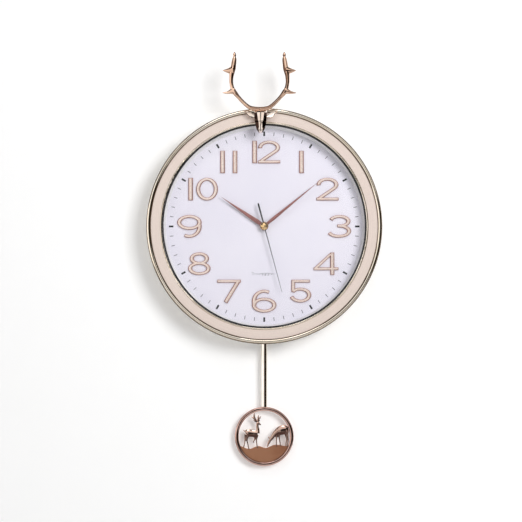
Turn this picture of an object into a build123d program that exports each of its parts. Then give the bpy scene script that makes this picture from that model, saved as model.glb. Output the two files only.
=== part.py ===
from build123d import *
import math
import os

# A pendulum wall clock with a stag's head over the bezel. Millimetres. The dial faces -Y, the wall
# is the plane y = 0, +Z is up, and the origin is where the axis of the hands meets the wall.
# A depth is a distance in front of the wall, so the point at depth d has y = -d.

# ---- driving dimensions -------------------------------------------------------------------------
case_radius = 179.0
case_wall = 2.2
swing_deg = 8.0
bob_drop = 141.0
bob_radius = 45.0
bob_section = 6.0
rod_radius = 4.8
rod_wall = 0.7
touch_gap = 0.05
running_gap = 0.05
seat_gap = 0.1

# the bezel: a matt band between two polished rims
lip_setback = 0.6
lip_width = 6.8
band_width = 13.7
band_thickness = 2.0
inner_rim_width = 3.0
seal_width = 2.3
seal_height = 1.6
skirt_wall = 2.0
skirt_gap = 0.5
lip_outer_radius = case_radius - lip_setback
band_outer_radius = lip_outer_radius - lip_width - seat_gap
band_inner_radius = band_outer_radius - band_width
inner_rim_radius = band_inner_radius - seat_gap - inner_rim_width
aperture_radius = inner_rim_radius - seat_gap - seal_width
glass_edge_radius = band_inner_radius - 2 * seat_gap

# the dial, on a ledge inside the drum
ledge_depth = 20.0
ledge_thickness = 2.0
dial_thickness = 2.0
dial_overlap = 7.2
dial_depth = ledge_depth + ledge_thickness
dial_face = dial_depth + dial_thickness
dial_edge_radius = band_inner_radius + dial_overlap
spacer_setback = 2.7
spacer_slope = 5.2
spacer_wall = 2.2
spacer_inner_radius = aperture_radius + spacer_setback
ledge_inner_radius = spacer_inner_radius + 2.0

# numerals
numeral_height = 34.5
numeral_relief = 3.0
upright_stroke = 6.0
level_stroke = 4.2
numeral_inset = 38.3
numeral_circle_radius = aperture_radius - numeral_inset

# hands
hour_hand_length = 81.0
hour_hand_tail = 5.0
hour_hand_width = 6.6
minute_hand_length = 107.5
minute_hand_tail = 5.0
minute_hand_width = 5.0
hand_edge = 0.5
hand_ridge = 1.3
hand_gap = 0.4
hub_radius = 6.4
second_hand_length = 104.0
second_hand_tail = 36.0
second_hand_thickness = 0.6
cap_radius = 5.8
cap_height = 2.7
hand_thickness = hand_edge + hand_ridge
hour_hand_depth = dial_face + numeral_relief + 1.4
minute_hand_depth = hour_hand_depth + hand_thickness + hand_gap
second_hand_depth = minute_hand_depth + hand_thickness + hand_gap + 0.2
cap_front = second_hand_depth + second_hand_thickness + cap_height
hour_of_rest = 10.0
minute_of_rest = 8.45
second_of_rest = 27.5

# the glass, clear of the cap, and what it sets for the front of the case
gasket_thickness = 0.8
glass_thickness = 2.0
glass_clearance = 1.7
lip_overhang = 3.0
glass_back = cap_front + glass_clearance
glass_front = glass_back + glass_thickness
drum_depth = glass_back - 1.0
band_front = glass_front + 2.5

# arbors and pipes on the axis of the hands
arbor_radius = 0.6
minute_pipe_radius = 1.6
hour_pipe_radius = 2.6
bush_radius = 4.0
bush_front = dial_face + 3.6
nut_radius = 5.8
nut_thickness = 2.6

# the movement, a moulded box behind the dial with the pendulum drive in its foot
battery_radius = 7.0
battery_length = 50.0
battery_play = 0.3
box_half_width = 29.0
box_top_z = 35.0
box_wall = 1.5
cover_plate = 1.2
partition = 1.0
contact_thickness = 0.6
box_front = dial_depth
box_back = box_front - (2 * battery_radius + box_wall + 0.5)
bay_top_z = -28.0
bay_foot_z = bay_top_z - (2 * battery_radius + 3.0)
battery_z = (bay_top_z + bay_foot_z) / 2
pivot_z = bay_foot_z - 8.5
box_foot_z = pivot_z - 28.5

# the train: centre distances, and where each arbor stands
wheel_thickness = 0.8
third_distance = 14.0
third_angle = 30.0
step_distance = 14.5
step_angle = 150.0
rotor_distance = 11.0
rotor_angle = 100.0
motion_distance = 15.0
motion_arbor_radius = 0.8
tooth_share = 0.30
addendum_share = 0.75
dedendum_share = 1.15
knob_radius = 6.5
knob_length = 3.0
magnet_radius = 2.6
magnet_length = 2.4
pinion_overhang = 0.4

# how far the back of each wheel stands in front of the wall, one behind the other in the box
seconds_wheel_depth = box_back + 2.4
step_wheel_depth = box_back + 4.2
third_wheel_depth = box_back + 6.3
centre_wheel_depth = box_back + 8.4
motion_wheel_depth = box_back + 10.3
hour_wheel_depth = box_back + 12.3
stator_depth = box_back + 11.0
stator_thickness = 0.8

# the electrics
coil_z = 27.0
coil_half_length = 11.0
coil_radius = 3.5
coil_core_half_height = 1.6
bobbin_flange = 1.0
bobbin_wall = 0.6
board_thickness = 1.0

# the pendulum and its drive
pendulum_depth = box_back + 4.0
lever_thickness = 1.6
lever_half_width = 2.5
lever_hub_radius = 3.4
lever_pin_radius = 1.5
lever_eye_radius = 1.3
lever_eye_z = box_foot_z - 8.0
swing_magnet_z = pivot_z - 16.5
swing_magnet_radius = 3.5
swing_magnet_length = 2.0
drive_coil_radius = 6.0
rod_cap_top_z = box_foot_z - 3.0
rod_top_z = rod_cap_top_z - 12.0
plug_length = 10.0
stud_radius = 1.4
bob_center_z = -case_radius - bob_drop

# the back cover and what hangs the clock
cover_thickness = 2.5
cover_edge_gap = 0.3
window_high_z = -5.0
window_low_z = bay_foot_z - 2.0
hanger_drop = 61.0
hanger_z = case_radius - hanger_drop
hanger_hole_radius = 5.0
hanger_slot_width = 4.6
hanger_slot_rise = 14.0
hanger_plate_width = 46.0
hanger_plate_height = 60.0
hanger_plate_thickness = 1.2
hanger_plate_corner = 4.0
hanger_screw_spacing = 34.0
cover_screw_count = 6
cover_screw_radius = 1.5
cover_screw_head_radius = 3.0
cover_screw_head_height = 1.3
cover_boss_radius = 5.0
cover_boss_length = 12.0

# the ornament: a stag's head on the bezel, a little to the left of the twelve
head_x = -5.5
antler_x = -7.3
antler_root_length = 10.0
head_drop = 3.7
head_top_z = case_radius - head_drop
head_back = band_front + lip_width / 2 + 0.7
head_foot_radius = 2.8
head_foot_spacing = 8.4
head_foot_z = band_inner_radius + 4.8
head_screw_radius = 1.4
head_screw_head_radius = 2.5
head_screw_head_height = 1.6
antler_depth = head_back + 6.4

# figures in the bob
ground_thickness = 3.0
figure_thickness = 2.2
ground_level = -15.5
figure_inner_radius = 39.0


# ---- helpers ------------------------------------------------------------------------------------
def facing(depth, x=0.0, z=0.0):
    """The plane parallel to the dial at this depth, seen from the front: right is +X, up is +Z."""
    return Plane(origin=(x, -depth, z), x_dir=(1, 0, 0), z_dir=(0, -1, 0))


def slab(sketch, back, front, x=0.0, z=0.0):
    """The flat piece with this outline between two depths."""
    return extrude(facing(back, x, z) * sketch, amount=front - back)


def disc(radius, back, front, x=0.0, z=0.0):
    return slab(Circle(radius), back, front, x, z)


def ring(outer, inner, back, front, x=0.0, z=0.0):
    return slab(Circle(outer) - Circle(inner), back, front, x, z)


def block(low_x, high_x, low_z, high_z, back, front):
    section = Rectangle(high_x - low_x, high_z - low_z)
    return slab(section, back, front, (low_x + high_x) / 2, (low_z + high_z) / 2)


def turned(edges):
    """The ring swept about the axis of the hands by a closed outline of (radius, -depth) edges."""
    return revolve(make_face(edges), Axis.Y)


def polar(distance, angle):
    return distance * math.cos(math.radians(angle)), distance * math.sin(math.radians(angle))


def save(name, shape):
    export_step(shape, f"parts/{name}.step")


# ---- the case -----------------------------------------------------------------------------------
def rod_slot():
    """The room that the rod sweeps through the foot of the case."""
    reach = (case_radius + pivot_z) * math.tan(math.radians(swing_deg)) + rod_radius + 3.0
    margin = rod_radius + 2.5
    back, front = pendulum_depth - margin, pendulum_depth + margin
    return block(-reach, reach, -case_radius - 5.0, -case_radius + 25.0, back, front)


def cover_screw_places():
    radius = case_radius - case_wall - cover_boss_radius + 0.6
    return [polar(radius, 360.0 * i / cover_screw_count) for i in range(cover_screw_count)]


def case_drum():
    inner = case_radius - case_wall
    drum = ring(case_radius, inner, 0.0, drum_depth)
    drum += ring(inner + 0.5, ledge_inner_radius, ledge_depth, ledge_depth + ledge_thickness)
    boss_front = cover_thickness + cover_boss_length
    for x, z in cover_screw_places():
        drum += disc(cover_boss_radius, cover_thickness, boss_front, x, z)
    drum &= disc(case_radius, 0.0, drum_depth)
    for x, z in cover_screw_places():
        drum -= disc(cover_screw_radius + touch_gap, cover_thickness, boss_front - 2.0, x, z)
    return drum - rod_slot()


def front_rim():
    """The polished outer lip: half round at the front, hooked over the rim of the drum."""
    outer = lip_outer_radius
    inner = outer - lip_width
    step = case_radius - case_wall
    sides = Polyline(
        (outer, -band_front), (outer, -drum_depth), (step, -drum_depth),
        (step, -drum_depth - lip_overhang), (inner, -drum_depth - lip_overhang), (inner, -band_front),
    )
    crown = ThreePointArc(
        (inner, -band_front), ((inner + outer) / 2, -band_front - lip_width / 2), (outer, -band_front)
    )
    return turned(sides + crown)


def bezel_band():
    """The matt band, with a collar round the glass and a skirt that holds the dial to its ledge."""
    collar_inner = glass_edge_radius + 0.2
    band_back = band_front - band_thickness
    band = ring(band_outer_radius, band_inner_radius, band_back, band_front)
    band += ring(collar_inner + skirt_wall, collar_inner, spacer_front() - 0.5, band_back)
    skirt_inner = dial_edge_radius + skirt_gap
    band += ring(skirt_inner + skirt_wall, skirt_inner, dial_depth, band_back)
    for x, z in head_foot_places():
        band -= disc(head_screw_radius + touch_gap, band_back, band_front, x, z)
    return band


def inner_rim():
    """The narrow polished rim round the glass."""
    inner, outer = inner_rim_radius, inner_rim_radius + inner_rim_width
    sides = Polyline(
        (outer, -band_front), (outer, -glass_front), (inner, -glass_front), (inner, -band_front)
    )
    crown = ThreePointArc(
        (inner, -band_front),
        ((inner + outer) / 2, -band_front - inner_rim_width / 2),
        (outer, -band_front),
    )
    return turned(sides + crown)


def spacer_front():
    return glass_back - gasket_thickness


def dial_spacer():
    """The white ring between the dial and the glass, whose inside slopes down to the dial."""
    outer = spacer_inner_radius + spacer_wall
    foot = spacer_inner_radius - spacer_slope
    return turned(
        Polyline(
            (outer, -dial_face), (outer, -spacer_front()), (spacer_inner_radius, -spacer_front()),
            (foot, -dial_face), close=True,
        )
    )


def lens_gasket():
    """The rubber ring behind the edge of the glass, and the black bead that seals it in front."""
    outer = spacer_inner_radius + spacer_wall
    rear = ring(outer, spacer_inner_radius, spacer_front(), glass_back)
    low, high = aperture_radius, aperture_radius + seal_width
    shoulder = -glass_front - seal_height
    sides = Polyline((high, shoulder), (high, -glass_front), (low, -glass_front), (low, shoulder))
    crown = ThreePointArc(
        (low, shoulder), ((low + high) / 2, shoulder - seal_width / 2), (high, shoulder)
    )
    return Compound(children=[rear, turned(sides + crown)])


def glass_lens():
    return disc(glass_edge_radius, glass_back, glass_front)


def dial_plate():
    return ring(dial_edge_radius, bush_radius + 0.2, dial_depth, dial_face)


def back_cover():
    radius = case_radius - case_wall - cover_edge_gap
    cover = disc(radius, 0.0, cover_thickness)
    cover -= block(
        -box_half_width, box_half_width, window_low_z, window_high_z, 0.0, cover_thickness
    )
    cover -= hanger_window()
    for x, z in cover_screw_places() + hanger_screw_places():
        cover -= disc(cover_screw_radius + 0.2, 0.0, cover_thickness, x, z)
        cover -= disc(cover_screw_head_radius + 0.3, 0.0, cover_screw_head_height + 0.2, x, z)
    return cover


def cover_screws():
    """The pan-head screws of the cover and the hanger plate, sunk so that none stands proud."""
    back = 0.2
    shank_front = cover_thickness + cover_boss_length - 4.0
    screws = []
    for x, z in cover_screw_places() + hanger_screw_places():
        head = disc(cover_screw_head_radius, back, back + cover_screw_head_height, x, z)
        slot = Pos(x, -back, z) * Box(cover_screw_head_radius * 3, 1.2, 0.8)
        shank = disc(cover_screw_radius, back + cover_screw_head_height, shank_front, x, z)
        screws.append(head - slot + shank)
    return Compound(children=screws)


# ---- the hanger ---------------------------------------------------------------------------------
def hanger_window():
    """The opening in the cover that lets the head of the wall screw into the case."""
    half = hanger_hole_radius + 5.0
    low = hanger_z - half
    high = hanger_z + hanger_slot_rise + half
    return block(-half, half, low, high, 0.0, cover_thickness)


def hanger_plate_center_z():
    return hanger_z + hanger_slot_rise / 2


def hanger_screw_places():
    z = hanger_plate_center_z()
    return [(side * hanger_screw_spacing / 2, z) for side in (-1, 1)]


def hanger_plate():
    """The steel keyhole plate: the screw head goes through the round part, the shank up the slot."""
    back, front = cover_thickness, cover_thickness + hanger_plate_thickness
    sheet = RectangleRounded(hanger_plate_width, hanger_plate_height, hanger_plate_corner)
    plate = slab(sheet, back, front, 0.0, hanger_plate_center_z())
    plate -= disc(hanger_hole_radius, back, front, 0.0, hanger_z)
    half = hanger_slot_width / 2
    slot_top = hanger_z + hanger_slot_rise
    plate -= block(-half, half, hanger_z, slot_top, back, front)
    plate -= disc(half, back, front, 0.0, slot_top)
    for x, z in hanger_screw_places():
        plate -= disc(cover_screw_radius + touch_gap, back, front, x, z)
    return plate


# ---- numerals -----------------------------------------------------------------------------------
def bowl(width, height, x=0.0, z=0.0):
    """A closed oval stroke, heavier at its sides than at its top and foot."""
    outer = Ellipse(width / 2, height / 2)
    inner = Ellipse(width / 2 - upright_stroke, height / 2 - level_stroke)
    return Pos(x, z) * (outer - inner)


def bar(low_x, high_x, low_z, high_z):
    center = Pos((low_x + high_x) / 2, (low_z + high_z) / 2)
    return center * Rectangle(high_x - low_x, high_z - low_z)


def outline(*points):
    return make_face(Polyline(*points, close=True))


def glyph_0():
    return bowl(33.0, numeral_height)


def glyph_1():
    return Rectangle(upright_stroke + 0.8, numeral_height)


def glyph_2():
    half = numeral_height / 2
    top = bowl(33.0, 21.0, 0.0, half - 10.5) - bar(-20.0, 2.0, -half, half - 11.5)
    top -= bar(-20.0, 20.0, -half, 0.5)
    neck = outline((16.0, 1.5), (9.5, 1.5), (-17.0, -half + level_stroke), (-8.0, -half + level_stroke))
    foot = bar(-17.0, 17.0, -half, -half + level_stroke)
    return top + neck + foot


def glyph_3():
    half = numeral_height / 2
    lower_height = 20.0
    upper_height = numeral_height - lower_height + level_stroke
    upper = bowl(33.0, upper_height, 1.0, half - upper_height / 2)
    upper -= bar(-20.0, -3.0, half - upper_height, half - upper_height / 2 + 2.0)
    lower = bowl(37.0, lower_height, 0.0, -half + lower_height / 2)
    lower -= bar(-20.0, -4.0, -half + lower_height / 2 - 2.0, half)
    return upper + lower


def glyph_4():
    half = numeral_height / 2
    arm_low = -half + 7.5
    arm_high = arm_low + level_stroke
    sail = outline((8.0, half), (0.5, half), (-19.0, arm_low + 4.0), (-19.0, arm_low), (8.0, arm_low))
    counter = outline((6.5, arm_high), (-12.0, arm_high), (6.5, half - 7.0))
    post = bar(6.5, 6.5 + upright_stroke, -half, half)
    arm = bar(5.0, 19.0, arm_low, arm_high)
    return sail - counter + post + arm


def glyph_5():
    half = numeral_height / 2
    top = bar(-13.5, 14.5, half - level_stroke, half)
    post = bar(-13.5, -13.5 + upright_stroke - 0.5, -1.5, half)
    bowl_height = 22.5
    lower = bowl(33.0, bowl_height, 0.0, -half + bowl_height / 2)
    lower -= bar(-20.0, -6.0, -half + 7.0, -1.5)
    return top + post + lower


def glyph_6():
    half = numeral_height / 2
    bowl_height = 22.5
    lower = bowl(37.0, bowl_height, 0.0, -half + bowl_height / 2)
    back = bowl(37.0, numeral_height + 1.5, 0.0, -0.75)
    back -= bar(5.0, 20.0, -half - 5.0, half + 5.0)
    back -= bar(-20.0, 20.0, -half - 5.0, -half + bowl_height / 2)
    return lower + back


def glyph_7():
    half = numeral_height / 2
    top = bar(-18.0, 18.0, half - level_stroke, half)
    slope = outline((18.0, half - level_stroke), (10.8, half - level_stroke), (-9.0, -half), (-2.0, -half))
    return top + slope


def glyph_8():
    half = numeral_height / 2
    lower_height = 20.0
    upper_height = numeral_height - lower_height + level_stroke
    upper = bowl(29.0, upper_height, 0.0, half - upper_height / 2)
    lower = bowl(34.0, lower_height, 0.0, -half + lower_height / 2)
    return upper + lower


def glyph_9():
    return Rot(0, 0, 180) * glyph_6()


def numeral_sketch(hour):
    """The digits of one hour, side by side about the middle of the numeral."""
    digits = {
        0: glyph_0, 1: glyph_1, 2: glyph_2, 3: glyph_3, 4: glyph_4,
        5: glyph_5, 6: glyph_6, 7: glyph_7, 8: glyph_8, 9: glyph_9,
    }
    if hour < 10:
        sideways = {2: -2.0, 4: -4.5, 5: -2.0, 7: 3.5}.get(hour, 0.0)
        return [Pos(sideways, 0) * digits[hour]()]
    second = hour - 10
    shift = {0: (-13.5, 11.5), 1: (-6.5, 12.5), 2: (-14.5, 7.5)}[second]
    return [Pos(shift[0], 0) * glyph_1(), Pos(shift[1], 0) * digits[second]()]


def numeral(hour):
    x, z = polar(numeral_circle_radius, 90.0 - 30.0 * hour)
    front = dial_face + numeral_relief
    digits = [slab(sketch, dial_face, front, x, z) for sketch in numeral_sketch(hour)]
    return Compound(children=digits)


# ---- hands --------------------------------------------------------------------------------------
def hand_angles():
    """The clockwise angles of the three hands at rest, each following from the time shown."""
    minutes = minute_of_rest
    hour = (hour_of_rest + minutes / 60.0) * 30.0
    return hour, minutes * 6.0, second_of_rest * 6.0


def ridged_hand(length, tail, width, back, pipe_radius, angle):
    """A pointed hand with two facets that meet in a ridge along its middle."""
    wide_at = length * 0.16
    blade = outline(
        (0.0, length), (width / 2, wide_at), (width * 0.3, -tail), (-width * 0.3, -tail),
        (-width / 2, wide_at),
    )
    front = back + hand_thickness
    half = width / 2 + 0.5
    roof = make_face(
        Polyline(
            (-half, -back), (half, -back), (half, -back - hand_edge), (0, -front),
            (-half, -back - hand_edge), close=True,
        )
    )
    prism = Pos(0, 0, -tail - 1.0) * extrude(roof, amount=length + tail + 2.0)
    hand = slab(blade, back, front) & prism
    hand += disc(hub_radius, back, front)
    hand -= disc(pipe_radius, back, front)
    return Rot(0, angle, 0) * hand


def hour_hand():
    angle = hand_angles()[0]
    return ridged_hand(
        hour_hand_length, hour_hand_tail, hour_hand_width, hour_hand_depth, hour_pipe_radius, angle
    )


def minute_hand():
    angle = hand_angles()[1]
    return ridged_hand(
        minute_hand_length, minute_hand_tail, minute_hand_width, minute_hand_depth,
        minute_pipe_radius, angle,
    )


def second_hand():
    """A straight needle with a heavier tail and a socket pressed on the seconds arbor."""
    needle = outline(
        (0.25, second_hand_length), (0.7, 0.0), (1.0, -6.0), (1.3, -second_hand_tail + 3.0),
        (0.8, -second_hand_tail), (-0.8, -second_hand_tail), (-1.3, -second_hand_tail + 3.0),
        (-1.0, -6.0), (-0.7, 0.0), (-0.25, second_hand_length),
    )
    front = second_hand_depth + second_hand_thickness
    hand = slab(needle, second_hand_depth, front) + disc(2.6, second_hand_depth, front)
    hand -= disc(arbor_radius, second_hand_depth, front)
    return Rot(0, hand_angles()[2], 0) * hand


def hand_cap():
    """The domed cap over the ends of the arbors."""
    back = second_hand_depth + second_hand_thickness
    front = back + cap_height
    ball_radius = (cap_radius**2 + cap_height**2) / (2 * cap_height)
    dome = disc(cap_radius, back, front) & Pos(0, ball_radius - front, 0) * Sphere(ball_radius)
    return dome - disc(arbor_radius, back, back + 1.2)


# ---- gear train ---------------------------------------------------------------------------------
def toothed(teeth, pitch_radius):
    """A wheel's outline: straight-flanked teeth, cut thin for backlash, on a round root."""
    module = 2.0 * pitch_radius / teeth
    tip = pitch_radius + addendum_share * module
    root = pitch_radius - dedendum_share * module
    pitch_angle = 360.0 / teeth
    at_root = pitch_angle * tooth_share * 0.62
    at_tip = pitch_angle * tooth_share * 0.34
    points = []
    for i in range(teeth):
        middle = i * pitch_angle
        points.append(polar(root, middle - at_root))
        points.append(polar(tip, middle - at_tip))
        points.append(polar(tip, middle + at_tip))
        points.append(polar(root, middle + at_root))
    return outline(*points)


def pitch_radii(distance, teeth_a, teeth_b):
    total = teeth_a + teeth_b
    return distance * teeth_a / total, distance * teeth_b / total


def third_place():
    return polar(third_distance, third_angle)


def step_place():
    return polar(step_distance, step_angle)


def rotor_place():
    x, z = step_place()
    dx, dz = polar(rotor_distance, rotor_angle)
    return x + dx, z + dz


def motion_place():
    return 0.0, -motion_distance


def wheel(teeth, radius, back, place, turn=0.0):
    sketch = Rot(0, 0, turn) * toothed(teeth, radius)
    return slab(sketch, back, back + wheel_thickness, *place)


def pinion(teeth, radius, mate_back, place, turn=0.0):
    """A pinion that runs past both faces of the wheel it drives."""
    sketch = Rot(0, 0, turn) * toothed(teeth, radius)
    back = mate_back - pinion_overhang
    front = mate_back + wheel_thickness + pinion_overhang
    return slab(sketch, back, front, *place)


def arbor_back():
    """The inner end of an arbor, in its hole in the rear plate."""
    return box_back + 0.3


def arbor_front():
    """The outer end of an arbor, in its hole in the front wall of the box."""
    return box_front - 0.3


def meshing_turn(teeth, toward):
    """The turn that points the gap between two teeth in a direction."""
    return toward + 180.0 / teeth


def rotor():
    """The stepping motor's magnet and its six-leaved pinion on one arbor."""
    place = rotor_place()
    radius = pitch_radii(rotor_distance, 6, 36)[0]
    turned_pinion = pinion(6, radius, step_wheel_depth, place, rotor_angle + 180.0)
    magnet_back = stator_depth + stator_thickness / 2 - magnet_length / 2
    magnet = disc(magnet_radius, magnet_back, magnet_back + magnet_length, *place)
    arbor = disc(arbor_radius, arbor_back(), arbor_front(), *place)
    return arbor + turned_pinion + magnet


def step_wheel():
    place = step_place()
    radius = pitch_radii(rotor_distance, 6, 36)[1]
    body = wheel(36, radius, step_wheel_depth, place, meshing_turn(36, rotor_angle))
    pinion_radius = pitch_radii(step_distance, 8, 40)[0]
    body += pinion(8, pinion_radius, seconds_wheel_depth, place, step_angle + 180.0)
    return body + disc(arbor_radius, arbor_back(), arbor_front(), *place)


def seconds_wheel():
    """The wheel that turns once a minute, on the long arbor that carries the second hand."""
    place = (0.0, 0.0)
    radius = pitch_radii(step_distance, 8, 40)[1]
    body = wheel(40, radius, seconds_wheel_depth, place, meshing_turn(40, step_angle))
    pinion_radius = pitch_radii(third_distance, 8, 60)[0]
    body += pinion(8, pinion_radius, third_wheel_depth, place, third_angle)
    arbor_end = second_hand_depth + second_hand_thickness + 1.1
    return body + disc(arbor_radius, arbor_back(), arbor_end, *place)


def third_wheel():
    place = third_place()
    radius = pitch_radii(third_distance, 8, 60)[1]
    body = wheel(60, radius, third_wheel_depth, place, meshing_turn(60, third_angle + 180.0))
    pinion_radius = pitch_radii(third_distance, 8, 64)[0]
    body += pinion(8, pinion_radius, centre_wheel_depth, place, third_angle + 180.0)
    return body + disc(arbor_radius, arbor_back(), arbor_front(), *place)


def centre_wheel():
    """The wheel that turns once an hour, on a hub that grips the cannon pinion's pipe."""
    place = (0.0, 0.0)
    radius = pitch_radii(third_distance, 8, 64)[1]
    body = wheel(64, radius, centre_wheel_depth, place, meshing_turn(64, third_angle))
    hub_back, hub_front = centre_wheel_depth - 0.5, motion_wheel_depth - 0.6
    body += disc(hour_pipe_radius, hub_back, hub_front)
    return body - disc(minute_pipe_radius + running_gap, hub_back, hub_front)


def cannon_pinion():
    """The pinion of the motion work, on the long pipe that carries the minute hand."""
    radius = pitch_radii(motion_distance, 12, 36)[0]
    pipe_back = centre_wheel_depth - 0.5
    pipe_front = minute_hand_depth + hand_thickness
    body = pinion(12, radius, motion_wheel_depth, (0.0, 0.0), -90.0)
    body += disc(minute_pipe_radius, pipe_back, pipe_front)
    return body - disc(arbor_radius + running_gap, pipe_back, pipe_front)


def motion_wheel():
    place = motion_place()
    radius = pitch_radii(motion_distance, 12, 36)[1]
    body = wheel(36, radius, motion_wheel_depth, place, meshing_turn(36, 90.0))
    pinion_radius = pitch_radii(motion_distance, 10, 40)[0]
    body += pinion(10, pinion_radius, hour_wheel_depth, place, 90.0)
    knob_back = box_back - 0.4 - knob_length
    return body + disc(motion_arbor_radius, knob_back + 1.0, arbor_front(), *place)


def hour_wheel():
    """The wheel that turns once in twelve hours, on the pipe that carries the hour hand."""
    radius = pitch_radii(motion_distance, 10, 40)[1]
    pipe_back = hour_wheel_depth - 0.3
    pipe_front = hour_hand_depth + hand_thickness
    body = wheel(40, radius, hour_wheel_depth, (0.0, 0.0), meshing_turn(40, -90.0))
    body += disc(hour_pipe_radius, pipe_back, pipe_front)
    return body - disc(minute_pipe_radius + running_gap, pipe_back, pipe_front)


def set_knob():
    """The knurled knob at the back that sets the hands."""
    front = box_back - 0.4
    back = front - knob_length
    x, z = motion_place()
    knob = disc(knob_radius, back, front, x, z)
    flutes = 16
    for i in range(flutes):
        dx, dz = polar(knob_radius + 0.5, 360.0 * i / flutes)
        knob -= disc(0.9, back, front, x + dx, z + dz)
    return knob - disc(motion_arbor_radius, back + 1.0, front, x, z)


# ---- the movement's box -------------------------------------------------------------------------
def arbor_places():
    return [(0.0, 0.0), third_place(), step_place(), rotor_place()]


def lever_window():
    """The room that the lever sweeps through the foot of the box."""
    reach = (pivot_z - box_foot_z) * math.tan(math.radians(swing_deg)) + lever_half_width + 1.5
    back = pendulum_depth - lever_thickness / 2 - 0.8
    front = pendulum_depth + lever_thickness / 2 + 0.8
    return block(-reach, reach, box_foot_z - 1.0, box_foot_z + box_wall + 1.0, back, front)


def movement_case():
    """The moulded box: walls, the bush for the hands, the battery bay and the lever's pin."""
    back = box_back + cover_plate
    shell = block(-box_half_width, box_half_width, box_foot_z, box_top_z, back, box_front)
    inner_front = box_front - box_wall
    side = box_half_width - box_wall
    shell -= block(-side, side, bay_top_z + partition, box_top_z - box_wall, back, inner_front)
    shell -= block(-side, side, bay_foot_z, bay_top_z, back, inner_front)
    shell -= block(-side, side, box_foot_z + box_wall, bay_foot_z - partition, back, inner_front)
    shell += disc(bush_radius, inner_front, bush_front)
    shell -= disc(hour_pipe_radius + running_gap, inner_front, bush_front)
    for x, z in arbor_places()[1:]:
        shell -= disc(arbor_radius + running_gap, inner_front, box_front, x, z)
    x, z = motion_place()
    shell -= disc(motion_arbor_radius + running_gap, inner_front, box_front, x, z)
    shell += disc(lever_pin_radius, back, inner_front, 0.0, pivot_z)
    return shell - lever_window()


def movement_cover():
    """The rear plate of the box, cut away over the battery."""
    front = box_back + cover_plate
    plate = block(-box_half_width, box_half_width, box_foot_z, box_top_z, box_back, front)
    side = box_half_width - box_wall
    plate -= block(-side, side, bay_foot_z, bay_top_z, box_back, front)
    for x, z in arbor_places():
        plate -= disc(arbor_radius + running_gap, box_back, front, x, z)
    x, z = motion_place()
    return plate - disc(motion_arbor_radius + running_gap, box_back, front, x, z)


def battery_depth():
    return box_front - box_wall - battery_radius - battery_play


def battery():
    """One AA cell, lying across the box."""
    button_length = 1.4
    end, shoulder = battery_length / 2, battery_length / 2 - button_length
    body = across(battery_radius, -end, shoulder, battery_depth(), battery_z)
    return body + across(2.7, shoulder, end, battery_depth(), battery_z)


def battery_contacts():
    """A sprung leaf at each end of the battery bay."""
    inside = box_half_width - box_wall
    low, high = bay_foot_z + 3.0, bay_top_z - 3.0
    back, front = box_back + cover_plate + 0.3, box_front - box_wall
    leaves = []
    for side in (-1, 1):
        outer, inner = side * inside, side * (inside - contact_thickness)
        leaf = block(min(outer, inner), max(outer, inner), low, high, back, front)
        reach = side * battery_length / 2
        tongue_low, tongue_high = min(reach, inner), max(reach, inner)
        middle = battery_depth()
        leaf += block(
            tongue_low, tongue_high, battery_z - 2.0, battery_z + 2.0, middle - 1.0, middle + 1.0
        )
        leaves.append(leaf)
    return Compound(children=leaves)


def circuit_board():
    """The driver board on the rear plate, with its chip under a blob of resin."""
    back = box_back + cover_plate
    front = back + board_thickness
    board = block(16.0, 27.0, -22.0, 20.0, back, front)
    return board + disc(3.5, front, front + 1.4, 21.5, -14.0)


def quartz_crystal():
    can_radius = 1.05
    depth = box_back + cover_plate + board_thickness + can_radius
    can = Plane(origin=(21.5, -depth, 6.0), z_dir=(0, 0, 1))
    return extrude(can * Circle(can_radius), amount=6.0)


def stator():
    """The laminated plate round the rotor, with the coil's core across its ends."""
    x, z = rotor_place()
    front = stator_depth + stator_thickness
    core_back = stator_depth - stator_thickness
    low, high = z - 5.2, coil_z + coil_core_half_height
    left, right = x - 6.0, coil_half_length + 9.0
    plate = block(left, right, low, z + 5.0, stator_depth, front)
    plate += block(left, left + 5.0, low, high, stator_depth, front)
    plate += block(right - 5.0, right, low, high, stator_depth, front)
    plate -= disc(magnet_radius + 0.6, stator_depth, front, x, z)
    core = block(
        left, right, coil_z - coil_core_half_height, coil_z + coil_core_half_height,
        core_back, stator_depth,
    )
    return plate + core


def coil_axis_depth():
    return stator_depth - stator_thickness / 2


def coil_center_x():
    return (rotor_place()[0] - 6.0 + coil_half_length + 9.0) / 2


def across(radius, start_x, end_x, depth, z):
    """A round bar lying along X."""
    plane = Plane(origin=(start_x, -depth, z), z_dir=(1, 0, 0))
    return extrude(plane * Circle(radius), amount=end_x - start_x)


def core_clearance(low_x, high_x):
    half = coil_core_half_height + touch_gap
    depth = coil_axis_depth()
    reach = stator_thickness / 2 + touch_gap
    return block(low_x, high_x, coil_z - half, coil_z + half, depth - reach, depth + reach)


def coil_bobbin():
    x, depth = coil_center_x(), coil_axis_depth()
    low, high = x - coil_half_length, x + coil_half_length
    body = across(coil_core_half_height + 2 * bobbin_wall, low, high, depth, coil_z)
    body += across(coil_radius, low, low + bobbin_flange, depth, coil_z)
    body += across(coil_radius, high - bobbin_flange, high, depth, coil_z)
    return body - core_clearance(low, high)


def coil_winding():
    x, depth = coil_center_x(), coil_axis_depth()
    low = x - coil_half_length + bobbin_flange
    high = x + coil_half_length - bobbin_flange
    inside = coil_core_half_height + 2 * bobbin_wall
    wire = across(coil_radius - 0.2, low, high, depth, coil_z)
    return wire - across(inside + touch_gap, low, high, depth, coil_z)


def shaft_nut():
    """The hexagon nut that clamps the box to the dial."""
    front = dial_face + nut_thickness
    nut = slab(RegularPolygon(nut_radius, 6), dial_face, front)
    return nut - disc(bush_radius + touch_gap, dial_face, front)


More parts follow.
